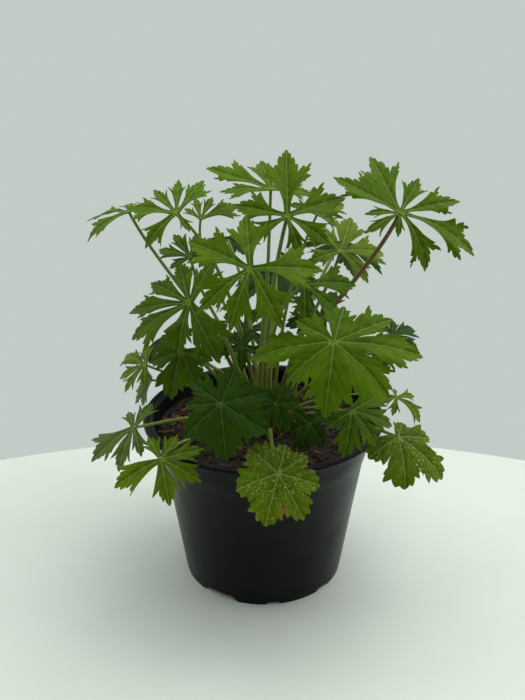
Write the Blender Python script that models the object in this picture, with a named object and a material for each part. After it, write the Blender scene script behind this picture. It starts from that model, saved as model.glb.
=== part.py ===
"""Young delphinium, leaves only, growing in a round nursery pot.

The numbers are millimetres and degrees; meshes are made in metres. X is to the right,
Y is away from the viewer, Z is up. The pot stands on Z = 0 with its axis on the origin.
"""
import math
import random
from dataclasses import dataclass

import bmesh
import bpy
from mathutils import Matrix, Vector
from mathutils.geometry import delaunay_2d_cdt

MM = 0.001
SEED = 37
GAP = 0.3

# Pot
POT_HEIGHT = 122.4
RIM_RADIUS = 85.0
FOOT_RADIUS = 57.8
POT_WALL = 1.2
BAND_DROP = 26.4
FLOOR_UNDER = 5.2
FLOOR_TOP = 6.8
BOSS_RADIUS = 15.0
POT_SIDES = 28
NOTCH_STEP = 40.0
NOTCH_FIRST = -33.0
NOTCH_COUNT = 9
WIDE_NOTCH = (22.0, 4.6)
SLIM_NOTCH = (8.0, 2.4)
DRAIN_RADIUS = 3.6
DRAIN_RING = 44.0
DRAIN_SIDES = 8

# Potting soil
SOIL_EDGE = 111.0
SOIL_MOUND = 2.4
SOIL_LUMP = 0.9
SOIL_RINGS = (14.0, 32.0, 50.0, 66.0)

# Leaves
BLADE = 0.7
FOLD = 0.14
STALK_FOOT = 100.0
STALK_CLEAR = 117.0
STALK_SIDES = 5
STALK_RINGS = 5
HOLE_SIDES = 6
# A lobe shorter than the first has one tooth less on each side; one past the second grows no wider
SHORT_LOBE = 36.0
LONG_LOBE = 50.0
# Share of the room up to the next lobe that teeth and notches may fill
TOOTH_ROOM = 0.94
NOTCH_ROOM = 0.80

# Leaves in the dark middle: lobes this many degrees apart, all bent down alike
FAN_LOBES = 5
FAN_FIRST = -165
FAN_STEP = 75
FAN_BEND = 20
INNER_LEAN = 40

# Half of a lobe from its root to its tip: distance along the lobe, then out from the midrib
NARROW_LOBE = ((0.57, 1.00), (0.61, 0.80), (0.76, 1.02), (0.60, 0.36), (0.87, 0.30), (0.84, 0.18))
BROAD_LOBE = ((0.58, 1.00), (0.63, 0.86), (0.80, 0.95), (0.78, 0.62), (0.93, 0.50), (0.91, 0.28))


@dataclass(frozen=True)
class Leaf:
    """One leaf: a blade of lobes round the top of its own stalk.

    at: where the stalk meets the blade.
    lean, toward: how far the blade's face tips from straight up, and to which side.
    lobes: direction round the blade, length and how far the tip bends down, for each lobe.
    foot: where the stalk stands in the soil.
    cut: how near the centre the gaps between lobes begin (1 is at the tips).
    age: 0 for narrow sharp lobes, 1 for broad shallow ones.
    stalk: radius of the stalk at its foot.
    plain: fewer teeth, for a leaf hidden behind others.
    """

    name: str
    at: tuple
    lean: float
    toward: float
    lobes: tuple
    foot: tuple
    cut: float = 0.14
    age: float = 0.2
    stalk: float = 1.6
    green: str = "fresh"
    plain: bool = False


def inner_leaf(name, at, size, foot):
    """Leaf in the dark middle of the plant: even lobes in a fan, its face turned to the viewer."""
    lobes = tuple((FAN_FIRST + FAN_STEP * k, size, FAN_BEND) for k in range(FAN_LOBES))
    return Leaf(name, at, INNER_LEAN, -90, lobes, foot, cut=0.25, age=0.3, stalk=1.3, green="deep",
                plain=True)


LEAVES = (
    Leaf("leaf_top", (15, -15, 268), 45, -90,
         ((-154, 28, 35), (-71, 28, 40), (-30, 34, 32), (25, 43, 18), (90, 52, 5), (162, 38, 22)),
         (0, 0), cut=0.09, age=0.0, stalk=1.9),
    Leaf("leaf_centre", (-8, -52, 245), 42, -95,
         ((-147, 43, 38), (-112, 41, 40), (-63, 42, 40), (3, 46, 28), (93, 41, 5), (146, 48, 18)),
         (-4, -7), cut=0.09, age=0.0, stalk=1.9),
    Leaf("leaf_right_broad", (42, -76, 207), 36, -92,
         ((-179, 55, 40), (-147, 38, 46), (-99, 47, 50), (-43, 49, 45), (-1, 59, 35), (27, 42, 14),
          (74, 28, 5), (144, 28, 5)),
         (10, -7), cut=0.26, age=0.5, stalk=2.1),
    Leaf("leaf_right_high", (85, -22, 272), 38, -85,
         ((-151, 26, 32), (-94, 16, 40), (-54, 44, 74), (-11, 63, 55), (20, 43, 10), (64, 32, 0),
          (109, 51, 8), (143, 51, 12), (178, 22, 20)),
         (7, 0), cut=0.1, age=0.0, stalk=2.1),
    Leaf("leaf_top_back", (5, 40, 273), 22, -90,
         ((49, 34, 10), (100, 38, 5), (148, 54, 5), (175, 36, 14), (0, 30, 20)),
         (0, 14), cut=0.14, age=0.1),
    Leaf("leaf_top_behind", (38, 50, 253), 38, -60,
         ((-11, 20, 20), (45, 30, 14), (100, 26, 8), (166, 22, 20)),
         (7, 14), age=0.1, stalk=1.4),
    Leaf("leaf_far_left_high", (-92, 32, 259), 12, -150,
         ((-164, 36, 42), (54, 24, 10), (98, 26, 12), (140, 42, 26)),
         (-11, 7), age=0.0),
    Leaf("leaf_left_high", (-58, 16, 262), 32, -95,
         ((-138, 32, 45), (-54, 16, 40), (63, 38, 10), (90, 34, 5), (124, 31, 10), (158, 39, 22)),
         (-4, 7), age=0.0),
    Leaf("leaf_left_high_small", (-44, 44, 251), 35, -70,
         ((47, 38, 22), (75, 26, 12), (105, 22, 10), (140, 16, 20)),
         (3, 7), age=0.1, stalk=1.3, green="young"),
    Leaf("leaf_left_inner", (-53, 58, 219), 36, -105,
         ((-20, 20, 35), (75, 24, 10), (118, 29, 10), (148, 31, 22), (-165, 18, 30)),
         (-7, 14), age=0.2, green="deep"),
    Leaf("leaf_left_mid", (-48, -22, 212), 35, -120,
         ((-175, 51, 38), (-112, 36, 38), (-72, 48, 35), (64, 38, 10), (100, 43, 10),
          (131, 47, 20), (161, 53, 28)),
         (-11, -7), cut=0.14, age=0.2, stalk=1.9),
    Leaf("leaf_right_inner", (52, 15, 236), 30, -60,
         ((-150, 24, 25), (-34, 29, 35), (28, 41, 25), (78, 42, 8), (122, 28, 10)),
         (10, 7), age=0.2, green="young"),
    Leaf("leaf_centre_small", (25, -40, 231), 38, -70,
         ((-82, 29, 45), (-24, 30, 38), (20, 40, 25), (80, 24, 8), (124, 28, 5)),
         (3, -7), age=0.1, stalk=1.5),
    Leaf("leaf_right_mid", (87, -10, 185), 30, -60,
         ((-67, 16, 30), (-10, 22, 30), (44, 26, 30), (86, 15, 10), (134, 12, 10)),
         (14, 0), age=0.3, stalk=1.4, green="deep", plain=True),
    Leaf("leaf_right_low", (56, -58, 152), 35, -70,
         ((-140, 20, 30), (-95, 31, 42), (-42, 28, 38), (-2, 32, 32), (40, 32, 20)),
         (17, -7), cut=0.3, age=0.4),
    Leaf("leaf_far_right_low", (88, -52, 130), 30, -70,
         ((-142, 25, 40), (-78, 35, 46), (-28, 42, 45), (12, 24, 20), (75, 13, 5)),
         (21, 0), cut=0.5, age=0.9, green="old"),
    Leaf("leaf_right_low_small", (96, 15, 127), 30, -60,
         ((-150, 14, 30), (-96, 15, 45), (-17, 30, 62), (24, 18, 20), (100, 8, 5)),
         (17, 7), age=0.1, stalk=1.3, green="young"),
    Leaf("leaf_left_low_small", (-81, -5, 161), 30, -150,
         ((-151, 24, 35), (-95, 18, 30), (94, 24, 8), (125, 36, 15), (168, 26, 28)),
         (-21, 0), age=0.2, stalk=1.3, green="young"),
    Leaf("leaf_left_low", (-56, -6, 171), 38, -110,
         ((-176, 24, 22), (-111, 34, 45), (-73, 31, 40), (-22, 23, 22), (130, 22, 5)),
         (-14, -14), cut=0.35, age=0.6),
    Leaf("leaf_left_folded", (-79, 5, 145), 50, -160,
         ((-150, 20, 30), (178, 26, 25), (136, 20, 15)),
         (-18, 7), cut=0.3, age=0.5, stalk=1.3, green="grey"),
    Leaf("leaf_front_dark", (-26, -80, 168), 45, -95,
         ((-142, 31, 30), (-86, 35, 40), (-32, 34, 28), (14, 30, 15), (68, 26, 5), (140, 24, 10),
          (178, 22, 15)),
         (-7, -14), cut=0.4, age=0.7, green="deep"),
    Leaf("leaf_far_left_low", (-86, -42, 132), 24, -110,
         ((-149, 36, 30), (-110, 32, 35), (-76, 22, 35), (62, 24, 8), (108, 16, 5)),
         (-18, -7), age=0.2, green="grey"),
    Leaf("leaf_front_left_low", (-65, -72, 125), 32, -100,
         ((-155, 35, 25), (-80, 31, 32), (-30, 30, 27), (14, 28, 12), (60, 20, 5), (118, 20, 5)),
         (-10, -21), age=0.2, green="young"),
    Leaf("leaf_front_old", (9, -98, 130), 40, -88,
         ((-160, 28, 25), (-104, 33, 25), (-60, 32, 25), (-13, 27, 20), (34, 22, 10), (76, 20, 5),
          (138, 25, 5)),
         (4, -21), cut=0.55, age=1.0, green="old"),
    Leaf("leaf_inner_left", (8, -50, 153), 40, -100,
         ((-146, 17, 30), (-72, 18, 30), (4, 16, 12), (68, 16, 5), (132, 15, 5)),
         (0, -14), cut=0.4, age=0.7, stalk=1.3, green="deep", plain=True),
    Leaf("leaf_inner_right", (30, -52, 140), 45, -80,
         ((-154, 15, 30), (-107, 19, 40), (-53, 18, 40), (40, 16, 5), (141, 14, 5)),
         (11, -21), cut=0.4, age=0.6, stalk=1.3, green="deep", plain=True),
    Leaf("leaf_inner_mid", (-14, 58, 161), 24, -92,
         ((-150, 26, 30), (-104, 26, 32), (-30, 24, 30), (20, 26, 18), (70, 28, 8), (125, 27, 10)),
         (-14, 14), cut=0.3, age=0.3, stalk=1.4, green="deep", plain=True),
    Leaf("leaf_back_high_left", (-28, 98, 222), 34, 105,
         ((-150, 28, 35), (160, 38, 35), (112, 46, 30), (66, 38, 30), (22, 28, 25)),
         (-3, 21), age=0.1, plain=True),
    Leaf("leaf_back_high_right", (58, 84, 222), 36, 62,
         ((150, 32, 30), (108, 44, 30), (62, 48, 28), (16, 42, 30), (-26, 30, 30)),
         (14, 14), age=0.2, stalk=1.8, plain=True),
    Leaf("leaf_back_mid", (10, 92, 196), 40, 92,
         ((172, 34, 30), (132, 46, 32), (88, 52, 34), (44, 46, 32), (6, 34, 30)),
         (4, 21), cut=0.28, age=0.5, stalk=1.8, plain=True),
    Leaf("leaf_back_left_low", (-72, 62, 156), 32, 140,
         ((-160, 28, 35), (176, 36, 40), (138, 40, 40), (98, 36, 35), (58, 26, 30)),
         (-10, 21), cut=0.35, age=0.6, green="deep", plain=True),
    Leaf("leaf_back_right_low", (76, 62, 150), 32, 40,
         ((118, 26, 30), (80, 36, 36), (38, 40, 40), (-2, 34, 36), (-40, 26, 32)),
         (11, 21), cut=0.4, age=0.8, green="deep", plain=True),
    inner_leaf("leaf_inner_front", (-15, 6, 170), 18, (-14, 0)),
    inner_leaf("leaf_inner_far_right", (40, 20, 188), 26, (21, 14)),
)

GREENS = {
    "fresh": (0.070, 0.165, 0.018),
    "young": (0.130, 0.240, 0.020),
    "deep": (0.030, 0.085, 0.014),
    "old": (0.095, 0.165, 0.025),
    "grey": (0.090, 0.150, 0.060),
}


def clear_scene():
    """Start from an empty file."""
    for obj in list(bpy.data.objects):
        bpy.data.objects.remove(obj, do_unlink=True)


def material(name, colour, roughness):
    """Return a plain non-metal material."""
    mat = bpy.data.materials.new(name)
    mat.use_nodes = True
    shader = mat.node_tree.nodes["Principled BSDF"]
    shader.inputs["Base Color"].default_value = (*colour, 1.0)
    shader.inputs["Roughness"].default_value = roughness
    shader.inputs["Metallic"].default_value = 0.0
    mat.diffuse_color = (*colour, 1.0)
    return mat


def new_object(name, verts, faces, collection=None):
    """Make an object from millimetre vertices with its faces turned outward."""
    mesh = bpy.data.meshes.new(name)
    mesh.from_pydata([Vector(v) * MM for v in verts], [], faces)
    bm = bmesh.new()
    bm.from_mesh(mesh)
    bmesh.ops.recalc_face_normals(bm, faces=bm.faces)
    bm.to_mesh(mesh)
    bm.free()
    obj = bpy.data.objects.new(name, mesh)
    (collection or bpy.context.scene.collection).objects.link(obj)
    return obj


def tool_collection(name):
    """Return a new collection to hold the second side of a Boolean."""
    found = bpy.data.collections.new(name)
    bpy.context.scene.collection.children.link(found)
    return found


def boolean(obj, tools, operation):
    """Join or cut a whole collection in one step, then remove the collection's objects."""
    for tool in tools.objects:
        tool.hide_render = True
        tool.display_type = "WIRE"
    mod = obj.modifiers.new("fuse", "BOOLEAN")
    mod.operation = operation
    mod.operand_type = "COLLECTION"
    mod.collection = tools
    mod.solver = "EXACT"
    graph = bpy.context.evaluated_depsgraph_get()
    result = bpy.data.meshes.new_from_object(obj.evaluated_get(graph))
    obj.modifiers.clear()
    obj.data = result
    for tool in list(tools.objects):
        bpy.data.objects.remove(tool, do_unlink=True)
    bpy.data.collections.remove(tools)


def drop_scraps(bm):
    """Keep the largest connected body of a mesh; a union of thin blades can leave flat scraps."""
    bodies = []
    unseen = set(bm.faces)
    while unseen:
        body = [unseen.pop()]
        for face in body:
            for edge in face.edges:
                for other in edge.link_faces:
                    if other in unseen:
                        unseen.remove(other)
                        body.append(other)
        bodies.append(body)
    bodies.sort(key=len)
    scraps = [face for body in bodies[:-1] for face in body]
    bmesh.ops.delete(bm, geom=scraps, context="FACES")


def finish(obj, mat, smooth):
    """Weld, triangulate and give the object its material."""
    bm = bmesh.new()
    bm.from_mesh(obj.data)
    bmesh.ops.remove_doubles(bm, verts=bm.verts, dist=0.00002)
    bmesh.ops.triangulate(bm, faces=bm.faces)
    bmesh.ops.dissolve_degenerate(bm, edges=bm.edges, dist=0.00002)
    bmesh.ops.triangulate(bm, faces=bm.faces)
    drop_scraps(bm)
    bm.to_mesh(obj.data)
    bm.free()
    obj.data.materials.clear()
    obj.data.materials.append(mat)
    for poly in obj.data.polygons:
        poly.use_smooth = smooth
        poly.material_index = 0


def turned(name, profile, sides):
    """Turn a closed half section about the Z axis; its first and last points are on the axis."""
    verts = [(0.0, 0.0, profile[0][1])]
    rings = profile[1:-1]
    for radius, height in rings:
        for k in range(sides):
            a = 2.0 * math.pi * k / sides
            verts.append((radius * math.cos(a), radius * math.sin(a), height))
    verts.append((0.0, 0.0, profile[-1][1]))
    last = len(verts) - 1
    faces = []
    for k in range(sides):
        n = (k + 1) % sides
        faces.append((0, 1 + n, 1 + k))
        for j in range(len(rings) - 1):
            a = 1 + j * sides
            b = a + sides
            faces.append((a + k, a + n, b + n, b + k))
        top = 1 + (len(rings) - 1) * sides
        faces.append((last, top + k, top + n))
    return new_object(name, verts, faces)


def prism(name, outline, length, place, collection):
    """Extrude an outline in X and Z along Y, then put it in place."""
    count = len(outline)
    verts = [place @ Vector((x, 0.0, z)) for x, z in outline]
    verts += [place @ Vector((x, length, z)) for x, z in outline]
    faces = [tuple(range(count)), tuple(reversed(range(count, 2 * count)))]
    for k in range(count):
        n = (k + 1) % count
        faces.append((k, n, count + n, count + k))
    return new_object(name, verts, faces, collection)


def rod(name, radius, low, high, spot, sides, collection):
    """Make an upright cutter between two heights."""
    verts = []
    for z in (low, high):
        for k in range(sides):
            a = 2.0 * math.pi * k / sides
            verts.append((spot[0] + radius * math.cos(a), spot[1] + radius * math.sin(a), z))
    faces = [tuple(range(sides)), tuple(range(sides, 2 * sides))]
    for k in range(sides):
        n = (k + 1) % sides
        faces.append((k, n, sides + n, sides + k))
    return new_object(name, verts, faces, collection)


def inner_wall():
    """Inside of the pot wall from the floor up, as radius and height."""
    return (
        (FOOT_RADIUS - POT_WALL + 1.1, FLOOR_TOP),
        (FOOT_RADIUS - POT_WALL + 14.6, POT_HEIGHT - BAND_DROP + 0.3),
        (FOOT_RADIUS - POT_WALL + 15.9, POT_HEIGHT - BAND_DROP + 1.5),
        (RIM_RADIUS - 7.8, POT_HEIGHT - 3.4),
    )


def make_pot():
    """Round nursery pot: tapered wall, flared band, rolled lip, notched foot and drain holes."""
    band = POT_HEIGHT - BAND_DROP
    outside = (
        (0.0, 0.0),
        (BOSS_RADIUS, 0.0),
        (BOSS_RADIUS + 3.0, FLOOR_UNDER),
        (FOOT_RADIUS - 1.6, FLOOR_UNDER),
        (FOOT_RADIUS - 1.5, 0.0),
        (FOOT_RADIUS, 0.0),
        (FOOT_RADIUS + 14.6, band),
        (FOOT_RADIUS + 15.8, band + 1.0),
        (RIM_RADIUS - 6.4, POT_HEIGHT - 4.0),
        (RIM_RADIUS - 0.9, POT_HEIGHT - 3.4),
        (RIM_RADIUS, POT_HEIGHT - 2.4),
        (RIM_RADIUS, POT_HEIGHT - 1.0),
        (RIM_RADIUS - 1.0, POT_HEIGHT),
        (RIM_RADIUS - 4.0, POT_HEIGHT - 0.1),
        (RIM_RADIUS - 6.4, POT_HEIGHT - 1.0),
    )
    inside = tuple(reversed(inner_wall()))
    floor = (
        (BOSS_RADIUS + 2.3, FLOOR_TOP),
        (BOSS_RADIUS - 0.7, 1.6),
        (0.0, 1.6),
    )
    pot = turned("pot", outside + inside + floor, POT_SIDES)
    tools = tool_collection("pot cuts")
    for k in range(NOTCH_COUNT):
        angle = math.radians(NOTCH_FIRST + NOTCH_STEP * k - 90.0)
        width, height = WIDE_NOTCH if k % 3 == 0 else SLIM_NOTCH
        outline = (
            (-0.5 * width - height, -1.0),
            (0.5 * width + height, -1.0),
            (0.5 * width, height),
            (-0.5 * width, height),
        )
        place = Matrix.Rotation(angle - 0.5 * math.pi, 4, "Z") @ Matrix.Translation((0.0, 50.0, 0.0))
        prism("notch", outline, 14.0, place, tools)
        spot = (DRAIN_RING * math.cos(angle), DRAIN_RING * math.sin(angle))
        rod("drain", DRAIN_RADIUS, FLOOR_UNDER - 2.0, FLOOR_TOP + 2.0, spot, DRAIN_SIDES, tools)
    boolean(pot, tools, "DIFFERENCE")
    finish(pot, material("black pot plastic", (0.010, 0.012, 0.012), 0.42), True)
    return pot


def soil_height(x, y):
    """Height of the soil at a spot: a low mound with small lumps."""
    share = min(1.0, (x * x + y * y) / 5800.0)
    lumps = math.sin(x / 6.1 + 1.0) * math.cos(y / 5.3) + 0.6 * math.sin(x / 3.9 - y / 4.7)
    return SOIL_EDGE + SOIL_MOUND * (1.0 - share) + SOIL_LUMP * lumps * (1.0 - 0.7 * share)


def make_soil():
    """Potting soil filling the pot, with a plain hole for the foot of every stalk."""
    wall = inner_wall()
    low, high = wall[2], wall[3]
    share = (SOIL_EDGE - low[1]) / (high[1] - low[1])
    edge = low[0] + (high[0] - low[0]) * share - GAP
    under = (
        (0.0, 1.6 + GAP),
        (BOSS_RADIUS - 1.1, 1.6 + GAP),
        (BOSS_RADIUS + 1.9, FLOOR_TOP + GAP),
        (wall[0][0] - GAP, FLOOR_TOP + GAP),
        (wall[1][0] - GAP, wall[1][1] + 0.25),
        (wall[2][0] - GAP, wall[2][1] + 0.25),
        (edge, SOIL_EDGE),
    )
    top = tuple((r, SOIL_EDGE) for r in reversed(SOIL_RINGS))
    soil = turned("soil", under + top + ((0.0, SOIL_EDGE),), POT_SIDES)
    for vert in soil.data.vertices:
        x, y, z = vert.co / MM
        if z > SOIL_EDGE - 0.01 and math.hypot(x, y) < edge - 0.1:
            vert.co.z = soil_height(x, y) * MM
    tools = tool_collection("stalk holes")
    for leaf in LEAVES:
        radius = (leaf.stalk + GAP) / math.cos(math.pi / HOLE_SIDES)
        rod("hole", radius, STALK_FOOT - GAP, STALK_CLEAR + 6.0, leaf.foot, HOLE_SIDES, tools)
    boolean(soil, tools, "DIFFERENCE")
    finish(soil, material("dark potting soil", (0.020, 0.012, 0.007), 0.95), False)
    return soil


class Blade:
    """The flat outline of a leaf and the way it bends in space."""

    def __init__(self, leaf, rng):
        self.leaf = leaf
        self.rng = rng
        self.lobes = sorted((a % 360.0, length, bend) for a, length, bend in leaf.lobes)
        gaps = []
        for k, lobe in enumerate(self.lobes):
            after = self.lobes[(k + 1) % len(self.lobes)][0]
            gaps.append((after - lobe[0]) % 360.0)
        widest = gaps.index(max(gaps))
        self.lobes = self.lobes[widest + 1:] + self.lobes[:widest + 1]
        self.gaps = gaps[widest + 1:] + gaps[:widest + 1]
        self.sinus = math.radians(self.lobes[-1][0] + 0.5 * self.gaps[-1])
        lean = math.radians(leaf.lean)
        toward = math.radians(leaf.toward)
        self.up = Vector((math.sin(lean) * math.cos(toward), math.sin(lean) * math.sin(toward),
                          math.cos(lean)))
        turn = Vector((0.0, 0.0, 1.0)).rotation_difference(self.up)
        self.right = turn @ Vector((1.0, 0.0, 0.0))
        self.back = turn @ Vector((0.0, 1.0, 0.0))
        self.centre = Vector(leaf.at)

    def half_lobe(self, angle, length, gap, side):
        """Edge points of one half of a lobe, from its root to just short of its tip."""
        leaf = self.leaf
        half_gap = math.radians(min(0.5 * gap, 32.0))
        limit = 0.32 + 0.14 * leaf.age
        width = min(limit, 0.78 * math.tan(0.92 * half_gap)) * min(length, LONG_LOBE)
        points = [(0.5 * (leaf.cut + 0.58), 0.30 + 0.56 * leaf.age)]
        for narrow, broad in zip(NARROW_LOBE, BROAD_LOBE):
            points.append(tuple(n + (b - n) * leaf.age for n, b in zip(narrow, broad)))
        if length < SHORT_LOBE or leaf.plain:
            del points[1:3]
        if leaf.plain:
            del points[1:3]
        edge = []
        for k, (along, out) in enumerate(points):
            along += self.rng.uniform(-0.015, 0.015)
            out *= self.rng.uniform(0.92, 1.06)
            offset = math.atan2(out * width, along * length)
            notch = k > 0 and k % 2 == 0
            offset = min(offset, (NOTCH_ROOM if notch else TOOTH_ROOM) * half_gap)
            reach = math.hypot(along * length, out * width)
            edge.append((reach, math.radians(angle) + side * offset))
        return edge

    def outline(self):
        """Closed edge of the blade in polar form, the midrib points and where each tip is."""
        leaf = self.leaf
        mean = sum(lobe[1] for lobe in self.lobes) / len(self.lobes)
        edge = [(0.07 * mean, self.sinus)]
        ribs = []
        tips = []
        for k, (angle, length, _) in enumerate(self.lobes):
            before = self.gaps[k - 1]
            after = self.gaps[k]
            edge += self.half_lobe(angle, length, before, -1.0)
            tips.append(len(edge))
            edge.append((length, math.radians(angle)))
            shares = (0.55,) if length < SHORT_LOBE or leaf.plain else (0.35, 0.68)
            ribs.append([(share * length, math.radians(angle)) for share in shares])
            edge += list(reversed(self.half_lobe(angle, length, after, 1.0)))
            if k < len(self.lobes) - 1:
                near = min(length, self.lobes[k + 1][1])
                edge.append((leaf.cut * near, math.radians(angle + 0.5 * after)))
        return edge, ribs, tips

    def bend_at(self, angle):
        """Bend per millimetre out from the centre in a given direction, and the nearest lobe."""
        turn = (math.degrees(angle) - self.lobes[0][0]) % 360.0
        for k, gap in enumerate(self.gaps):
            if turn <= gap or k == len(self.gaps) - 1:
                break
            turn -= gap
        here = self.lobes[k]
        there = self.lobes[(k + 1) % len(self.lobes)]
        share = turn / gap
        blend = min(1.0, max(0.0, (share - 0.3) / 0.4))
        blend = blend * blend * (3.0 - 2.0 * blend)
        first = math.radians(here[2]) / here[1]
        second = math.radians(there[2]) / there[1]
        near = turn if share < 0.5 else gap - turn
        return first + (second - first) * blend, math.radians(near)

    def point(self, x, y):
        """Place a flat spot of the blade in space: arched along the lobes, folded at the ribs."""
        reach = math.hypot(x, y)
        if reach < 1e-6:
            return self.centre.copy()
        angle = math.atan2(y, x)
        bend, off = self.bend_at(angle)
        outward = self.right * math.cos(angle) + self.back * math.sin(angle)
        turn = bend * reach
        if abs(turn) < 1e-4:
            along, drop = reach, 0.0
        else:
            along, drop = math.sin(turn) / bend, (1.0 - math.cos(turn)) / bend
        lift = FOLD * reach * abs(math.sin(min(off, 0.5 * math.pi)))
        normal = self.up * math.cos(turn) + outward * math.sin(turn)
        return self.centre + outward * along - self.up * drop + normal * lift

    def face_normal(self, x, y):
        """Direction the blade faces at a flat spot."""
        step = 0.4
        across = self.point(x + step, y) - self.point(x - step, y)
        along = self.point(x, y + step) - self.point(x, y - step)
        return across.cross(along).normalized()

    def mesh(self):
        """Blade with both faces split alike and a closed edge."""
        edge, ribs, tips = self.outline()
        flat = [Vector((r * math.cos(a), r * math.sin(a))) for r, a in edge]
        count = len(flat)
        flat.append(Vector((0.0, 0.0)))
        lines = []
        for rib, tip in zip(ribs, tips):
            last = count
            for r, a in rib:
                flat.append(Vector((r * math.cos(a), r * math.sin(a))))
                lines.append((last, len(flat) - 1))
                last = len(flat) - 1
            lines.append((last, tip))
        loop = [tuple(range(count))]
        verts, _, faces, _, _, _ = delaunay_2d_cdt(flat, lines, loop, 1, 1e-5)
        solid = []
        for v in verts:
            place = self.point(v.x, v.y)
            half = self.face_normal(v.x, v.y) * (0.5 * BLADE)
            solid.append(place + half)
            solid.append(place - half)
        split = []
        sides = {}
        for face in faces:
            a, b, c = face
            twice = (verts[b] - verts[a]).cross(verts[c] - verts[a])
            if twice < 0.0:
                a, b, c = a, c, b
            split.append((2 * a, 2 * b, 2 * c))
            split.append((2 * c + 1, 2 * b + 1, 2 * a + 1))
            for pair in ((a, b), (b, c), (c, a)):
                if (pair[1], pair[0]) in sides:
                    del sides[(pair[1], pair[0])]
                else:
                    sides[pair] = True
        for a, b in sides:
            split.append((2 * a, 2 * a + 1, 2 * b + 1))
            split.append((2 * a, 2 * b + 1, 2 * b))
        return solid, split


def stalk_path(leaf, blade):
    """Centre line of a stalk from its foot in the soil to the blade."""
    foot = Vector((leaf.foot[0], leaf.foot[1], STALK_FOOT))
    clear = Vector((leaf.foot[0], leaf.foot[1], STALK_CLEAR))
    middle = -(blade.right * math.cos(blade.sinus) + blade.back * math.sin(blade.sinus))
    arrive = (middle * 0.55 + blade.up * 0.84).normalized()
    span = (blade.centre - clear).length
    out = Vector((blade.centre.x - clear.x, blade.centre.y - clear.y, 0.0))
    rise = max(0.0, blade.centre.z - clear.z)
    first = clear + Vector((0.0, 0.0, 10.0 + 0.35 * rise)) + out * 0.12
    second = blade.centre - arrive * (0.30 * span)
    second.z = max(second.z, min(blade.centre.z, POT_HEIGHT + 10.0))
    path = [foot]
    steps = STALK_RINGS - 2
    for k in range(steps + 1):
        t = k / steps
        s = 1.0 - t
        path.append(clear * s ** 3 + first * (3.0 * s * s * t) + second * (3.0 * s * t * t)
                    + blade.centre * t ** 3)
    return path


def stalk_mesh(leaf, blade):
    """Tapered stalk with a closed end inside the blade."""
    path = stalk_path(leaf, blade)
    verts = []
    faces = []
    side = Vector((1.0, 0.0, 0.0))
    for k, spot in enumerate(path):
        if k == 0 or k == 1:
            way = Vector((0.0, 0.0, 1.0))
        elif k == len(path) - 1:
            way = (path[k] - path[k - 1]).normalized()
        else:
            way = (path[k + 1] - path[k - 1]).normalized()
        side = (side - way * side.dot(way)).normalized()
        other = way.cross(side)
        share = max(0.0, (k - 1) / (len(path) - 2))
        radius = leaf.stalk * (1.0 - 0.38 * share)
        for j in range(STALK_SIDES):
            a = 2.0 * math.pi * j / STALK_SIDES
            verts.append(spot + side * (radius * math.cos(a)) + other * (radius * math.sin(a)))
    for k in range(len(path) - 1):
        a = k * STALK_SIDES
        b = a + STALK_SIDES
        for j in range(STALK_SIDES):
            n = (j + 1) % STALK_SIDES
            faces.append((a + j, a + n, b + n, b + j))
    faces.append(tuple(range(STALK_SIDES)))
    verts.append(path[-1] + way * 0.7)
    top = len(verts) - 1
    start = (len(path) - 1) * STALK_SIDES
    for j in range(STALK_SIDES):
        faces.append((start + j, start + (j + 1) % STALK_SIDES, top))
    return verts, faces


def make_leaf(leaf, number):
    """Blade and stalk of one leaf, fused."""
    blade = Blade(leaf, random.Random(SEED + number))
    verts, faces = blade.mesh()
    obj = new_object(leaf.name, verts, faces)
    tools = tool_collection(leaf.name + " stalk")
    verts, faces = stalk_mesh(leaf, blade)
    new_object("stalk", verts, faces, tools)
    boolean(obj, tools, "UNION")
    finish(obj, material(leaf.name + " green", GREENS[leaf.green], 0.55), False)
    return obj


def main():
    """Build the pot, its soil and every leaf."""
    clear_scene()
    make_pot()
    make_soil()
    for number, leaf in enumerate(LEAVES):
        make_leaf(leaf, number)


main()
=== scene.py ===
"""Young delphinium in leaf, in its black nursery pot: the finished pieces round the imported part.

Sizes are millimetres unless a name ends in _m; meshes are made in metres. X is to the right,
Y is away from the viewer, Z is up. The pot stands on Z = 0 with its axis on the origin.
"""
import logging
import math
import random
from collections.abc import Callable, Iterable, Sequence
from dataclasses import dataclass, field
from enum import Enum

import bpy
import numpy as np
from mathutils import Matrix, Vector, kdtree, noise
from mathutils.geometry import delaunay_2d_cdt


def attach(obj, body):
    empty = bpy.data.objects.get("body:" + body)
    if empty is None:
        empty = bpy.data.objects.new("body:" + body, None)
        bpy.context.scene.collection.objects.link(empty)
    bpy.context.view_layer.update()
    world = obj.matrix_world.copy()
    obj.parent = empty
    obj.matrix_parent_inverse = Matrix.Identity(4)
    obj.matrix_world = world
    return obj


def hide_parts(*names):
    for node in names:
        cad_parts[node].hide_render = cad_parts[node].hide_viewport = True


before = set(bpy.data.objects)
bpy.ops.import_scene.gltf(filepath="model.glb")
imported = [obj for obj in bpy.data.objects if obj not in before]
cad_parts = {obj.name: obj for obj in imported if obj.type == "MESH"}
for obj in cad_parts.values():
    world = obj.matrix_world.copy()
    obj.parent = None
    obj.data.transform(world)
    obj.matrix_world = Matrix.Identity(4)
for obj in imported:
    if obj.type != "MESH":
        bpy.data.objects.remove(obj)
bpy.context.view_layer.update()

MM = 0.001
SEED = 37
LOG = logging.getLogger("delphinium")

# Half of a lobe from its root to its tip: distance along the lobe, then out from the midrib
NARROW_LOBE = ((0.57, 1.00), (0.61, 0.80), (0.76, 1.02), (0.60, 0.36), (0.87, 0.30), (0.84, 0.18))
BROAD_LOBE = ((0.58, 1.00), (0.63, 0.86), (0.80, 0.95), (0.78, 0.62), (0.93, 0.50), (0.91, 0.28))
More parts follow.
